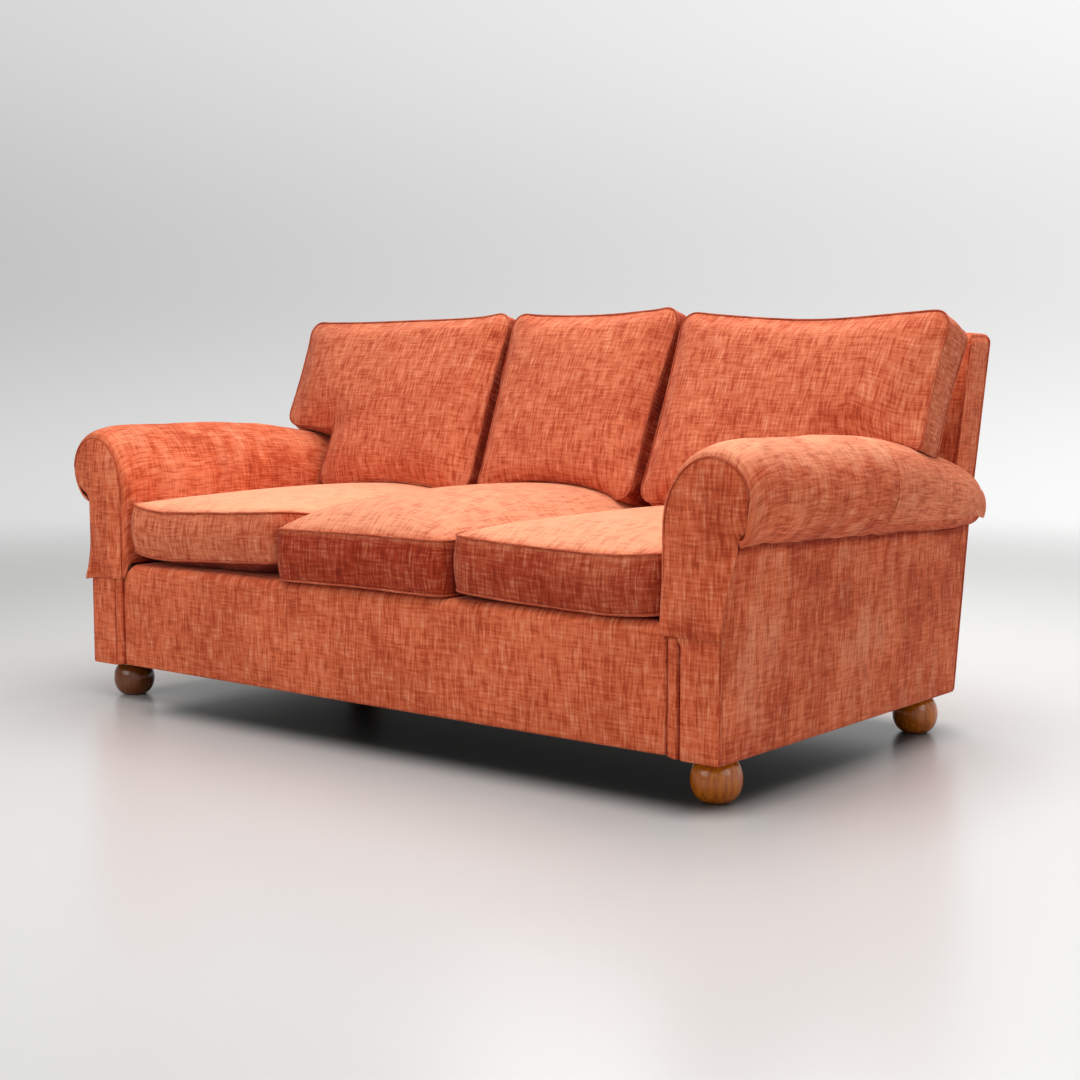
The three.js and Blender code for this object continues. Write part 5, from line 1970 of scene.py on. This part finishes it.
@dataclass
class Cushions:
    """All six loose cushions, filled together and then stood in place."""

    gap: float = 0.002
    seat_gap: float = 0.0034
    clearance: float = 0.0022
    seat_clearance: float = 0.0042
    arm_clearance: float = 0.0075
    frames: int = 20

    def seats(self) -> list[SeatCushion]:
        """Returns the three seat cushions, left to right."""
        gap = self.seat_gap
        inner = LINES.inner_arm - self.gap
        left, right = LINES.left_seam, LINES.right_seam
        # Every seat's underside gets painted shade; each seat's top gets painted light and its band painted
        # shade.
        common = {"boxing": 0.108, "draw": 0.005, "under_flat": 0.35, "under_painted_shade": -0.9}
        return [
            SeatCushion("left_seat_cushion", -inner, left - gap, 0.8747, crown=0.058,
                        seed=0.31, front=-0.5342,
                        front_lift=((0, 0.036), (0.12, 0.024), (0.25, 0.019), (0.6, 0.026), (1, 0.037)),
                        top_painted_light=0.9, bulge=0.016, corner=0.036, **common),
            SeatCushion("middle_seat_cushion", left + gap, right - gap, 0.8907,
                        crown=0.078, seed=1.27, front=-0.5502,
                        front_lift=((0, 0.002), (0.5, 0.005), (1, 0.003)),
                        top_painted_light=0.55, band_painted_shade=-0.9, bulge=0.012, corner=0.042, **common),
            SeatCushion("right_seat_cushion", right + gap, inner, 0.8827, crown=0.048, seed=2.63,
                        front=-0.5422, front_lift=((0, 0.019), (0.3, 0.009), (0.75, 0.003), (1, 0.01)),
                        top_painted_light=0.74, band_painted_shade=-0.66, bulge=0.013, corner=0.042, **common),
        ]

    def backs(self) -> list[BackCushion]:
        """Returns the three back cushions, left to right."""
        inner, tip = LINES.inner_arm - self.gap, 0.945
        left, right = LINES.left_seam, LINES.right_seam
        # The back cushions' faces get a touch of painted shade, and their flanks more where they stand in the
        # gaps.
        common = {"boxing": 0.165, "reach": 0.472, "corner": 0.044, "draw": 0.007,
                  "under_crown": 0.028, "swell": 0.016, "band_rows": 12,
                  "bulge": 0.008, "top_painted_light": -0.06, "wing": 0.157, "tip_squash": (0.6, 0.46)}
        return [
            BackCushion("left_back_cushion", -tip, left - self.gap, crown=0.044, seed=3.4, foot_low=-inner,
                        turn_degrees=2.6, pivot=left - self.gap, wing_drop=-0.014, flank_painted_shades=(-0.1, -0.95),
                        end_line=((0, -0.009), (0.1, -0.004), (0.5, -0.007), (0.85, -0.008), (1, -0.02)),
                        **common),
            BackCushion("middle_back_cushion", left + self.gap, right - self.gap, crown=0.046, seed=4.9,
                        pivot=right - self.gap, low_line=((0, 0.02), (0.3, 0.01), (0.7, 0)),
                        high_line=((0, 0.014), (0.4, 0.012), (0.8, 0)), flank_painted_shades=(-0.6, -1.0),
                        end_line=((0, -0.011), (0.3, -0.007), (0.6, -0.007), (1, -0.015)), **common),
            BackCushion("right_back_cushion", right + self.gap, tip, crown=0.044, seed=6.1, foot_high=inner,
                        turn_degrees=-1.4, pivot=right + self.gap, wing_drop=0.03, flank_painted_shades=(-0.9, 0.0),
                        end_line=((0, -0.002), (0.5, 0.022), (0.85, 0.016), (1, 0.012)), **common),
        ]

    def fill(self, pairs: Sequence[tuple[BoxedCushion, Piece]]) -> None:
        """Blows the cushions up as cloth, all in one run, and keeps what it did to their meshes."""
        scene = bpy.context.scene
        for cushion, piece in pairs:
            cloth = piece.modifiers.new("fill", "CLOTH")
            for key, value in CLOTH_SETTINGS.items():
                setattr(cloth.settings, key, value)
            cloth.settings.shrink_min = cushion.slack
            cloth.settings.effector_weights.gravity = 0
            cloth.collision_settings.use_collision = False
            cloth.collision_settings.use_self_collision = False
            cloth.point_cache.frame_end = self.frames
        for number in range(1, self.frames + 1):
            scene.frame_set(number)
        graph = bpy.context.evaluated_depsgraph_get()
        for cushion, piece in pairs:
            shown = piece.evaluated_get(graph)
            moved = [vert.co.copy() for vert in shown.to_mesh().vertices]
            shown.to_mesh_clear()
            piece.modifiers.clear()
            for vert, rest, end, cap in zip(piece.data.vertices, cushion.rest, moved, cushion.caps):
                vert.co = cushion.settle(rest, end, cap)
        scene.frame_set(1)

    def build(self, workshop: Workshop, arms: Sequence[Piece], back: Piece) -> None:
        """Makes, fills and places every cushion.

        Args:
            workshop: Where the pieces are finished.
            arms: The padded arms that the wings lie over.
            back: The inside back that the cushions lean on.
        """
        seats, backs = self.seats(), self.backs()
        pairs = [(cushion, cushion.loosen()) for cushion in [*seats, *backs]]
        self.fill(pairs)
        for cushion, piece in pairs:
            for vert in piece.data.vertices:
                vert.co = cushion.place(vert.co)
        walls = [(nearest_surface([back]), self.clearance)]
        seated = [self.finish(workshop, *pair, walls) for pair in pairs[:len(seats)]]
        walls = [(nearest_surface(seated), self.seat_clearance),
                 (nearest_surface(arms), self.arm_clearance)] + walls
        for pair in pairs[len(seats):]:
            self.finish(workshop, *pair, walls)

    def finish(
        self, workshop: Workshop, cushion: BoxedCushion, piece: Piece, walls: Sequence[tuple[BVHTree, float]]
    ) -> Piece:
        """Presses a filled cushion against what it rests on, dresses it and sews its welts.

        Args:
            workshop: Where it is finished.
            cushion: How it was cut.
            piece: Its filled shape, which is taken away.
            walls: The surfaces that it rests on, each with the distance that it keeps.

        Returns:
            The dressed cushion.
        """
        for wall, clearance in walls * 2:
            for vert in piece.data.vertices:
                vert.co = push_clear(vert.co, wall, clearance)
        body = cushion.name.replace("_cushion", "")
        mesh = bmesh.new()
        mesh.from_mesh(piece.data)
        bpy.data.objects.remove(piece)
        made = workshop.issue(mesh, f"{cushion.name}_case", "cushion_fabric", body, replaces=[cushion.name])
        cushion.welts(workshop, made, body)
        return made


def main() -> None:
    """Builds the sofa and its studio."""
    logging.basicConfig(level=logging.INFO, format="%(name)s: %(message)s")
    effects = Effects()
    workshop = Workshop({finish.name: finish.material(effects) for finish in FINISHES})
    Studio().build()
    BareFrame().dress(workshop)
    Base().build(workshop)
    back = Back().build(workshop)
    left = RollArm("left", -1, hem=0.292, flare=0.011, slant=0.003, top_painted_light=0.02, side_painted_light=0.045, seed=1.3)
    right = RollArm("right", 1, slant=0.028, sway=0.01, top_painted_light=0.55, side_painted_light=-0.06,
                    second_layer=True, seed=4.7)
    arms = [left.build(workshop), right.build(workshop)]
    Cushions().build(workshop, arms, back)


if __name__ == "__main__":
    main()
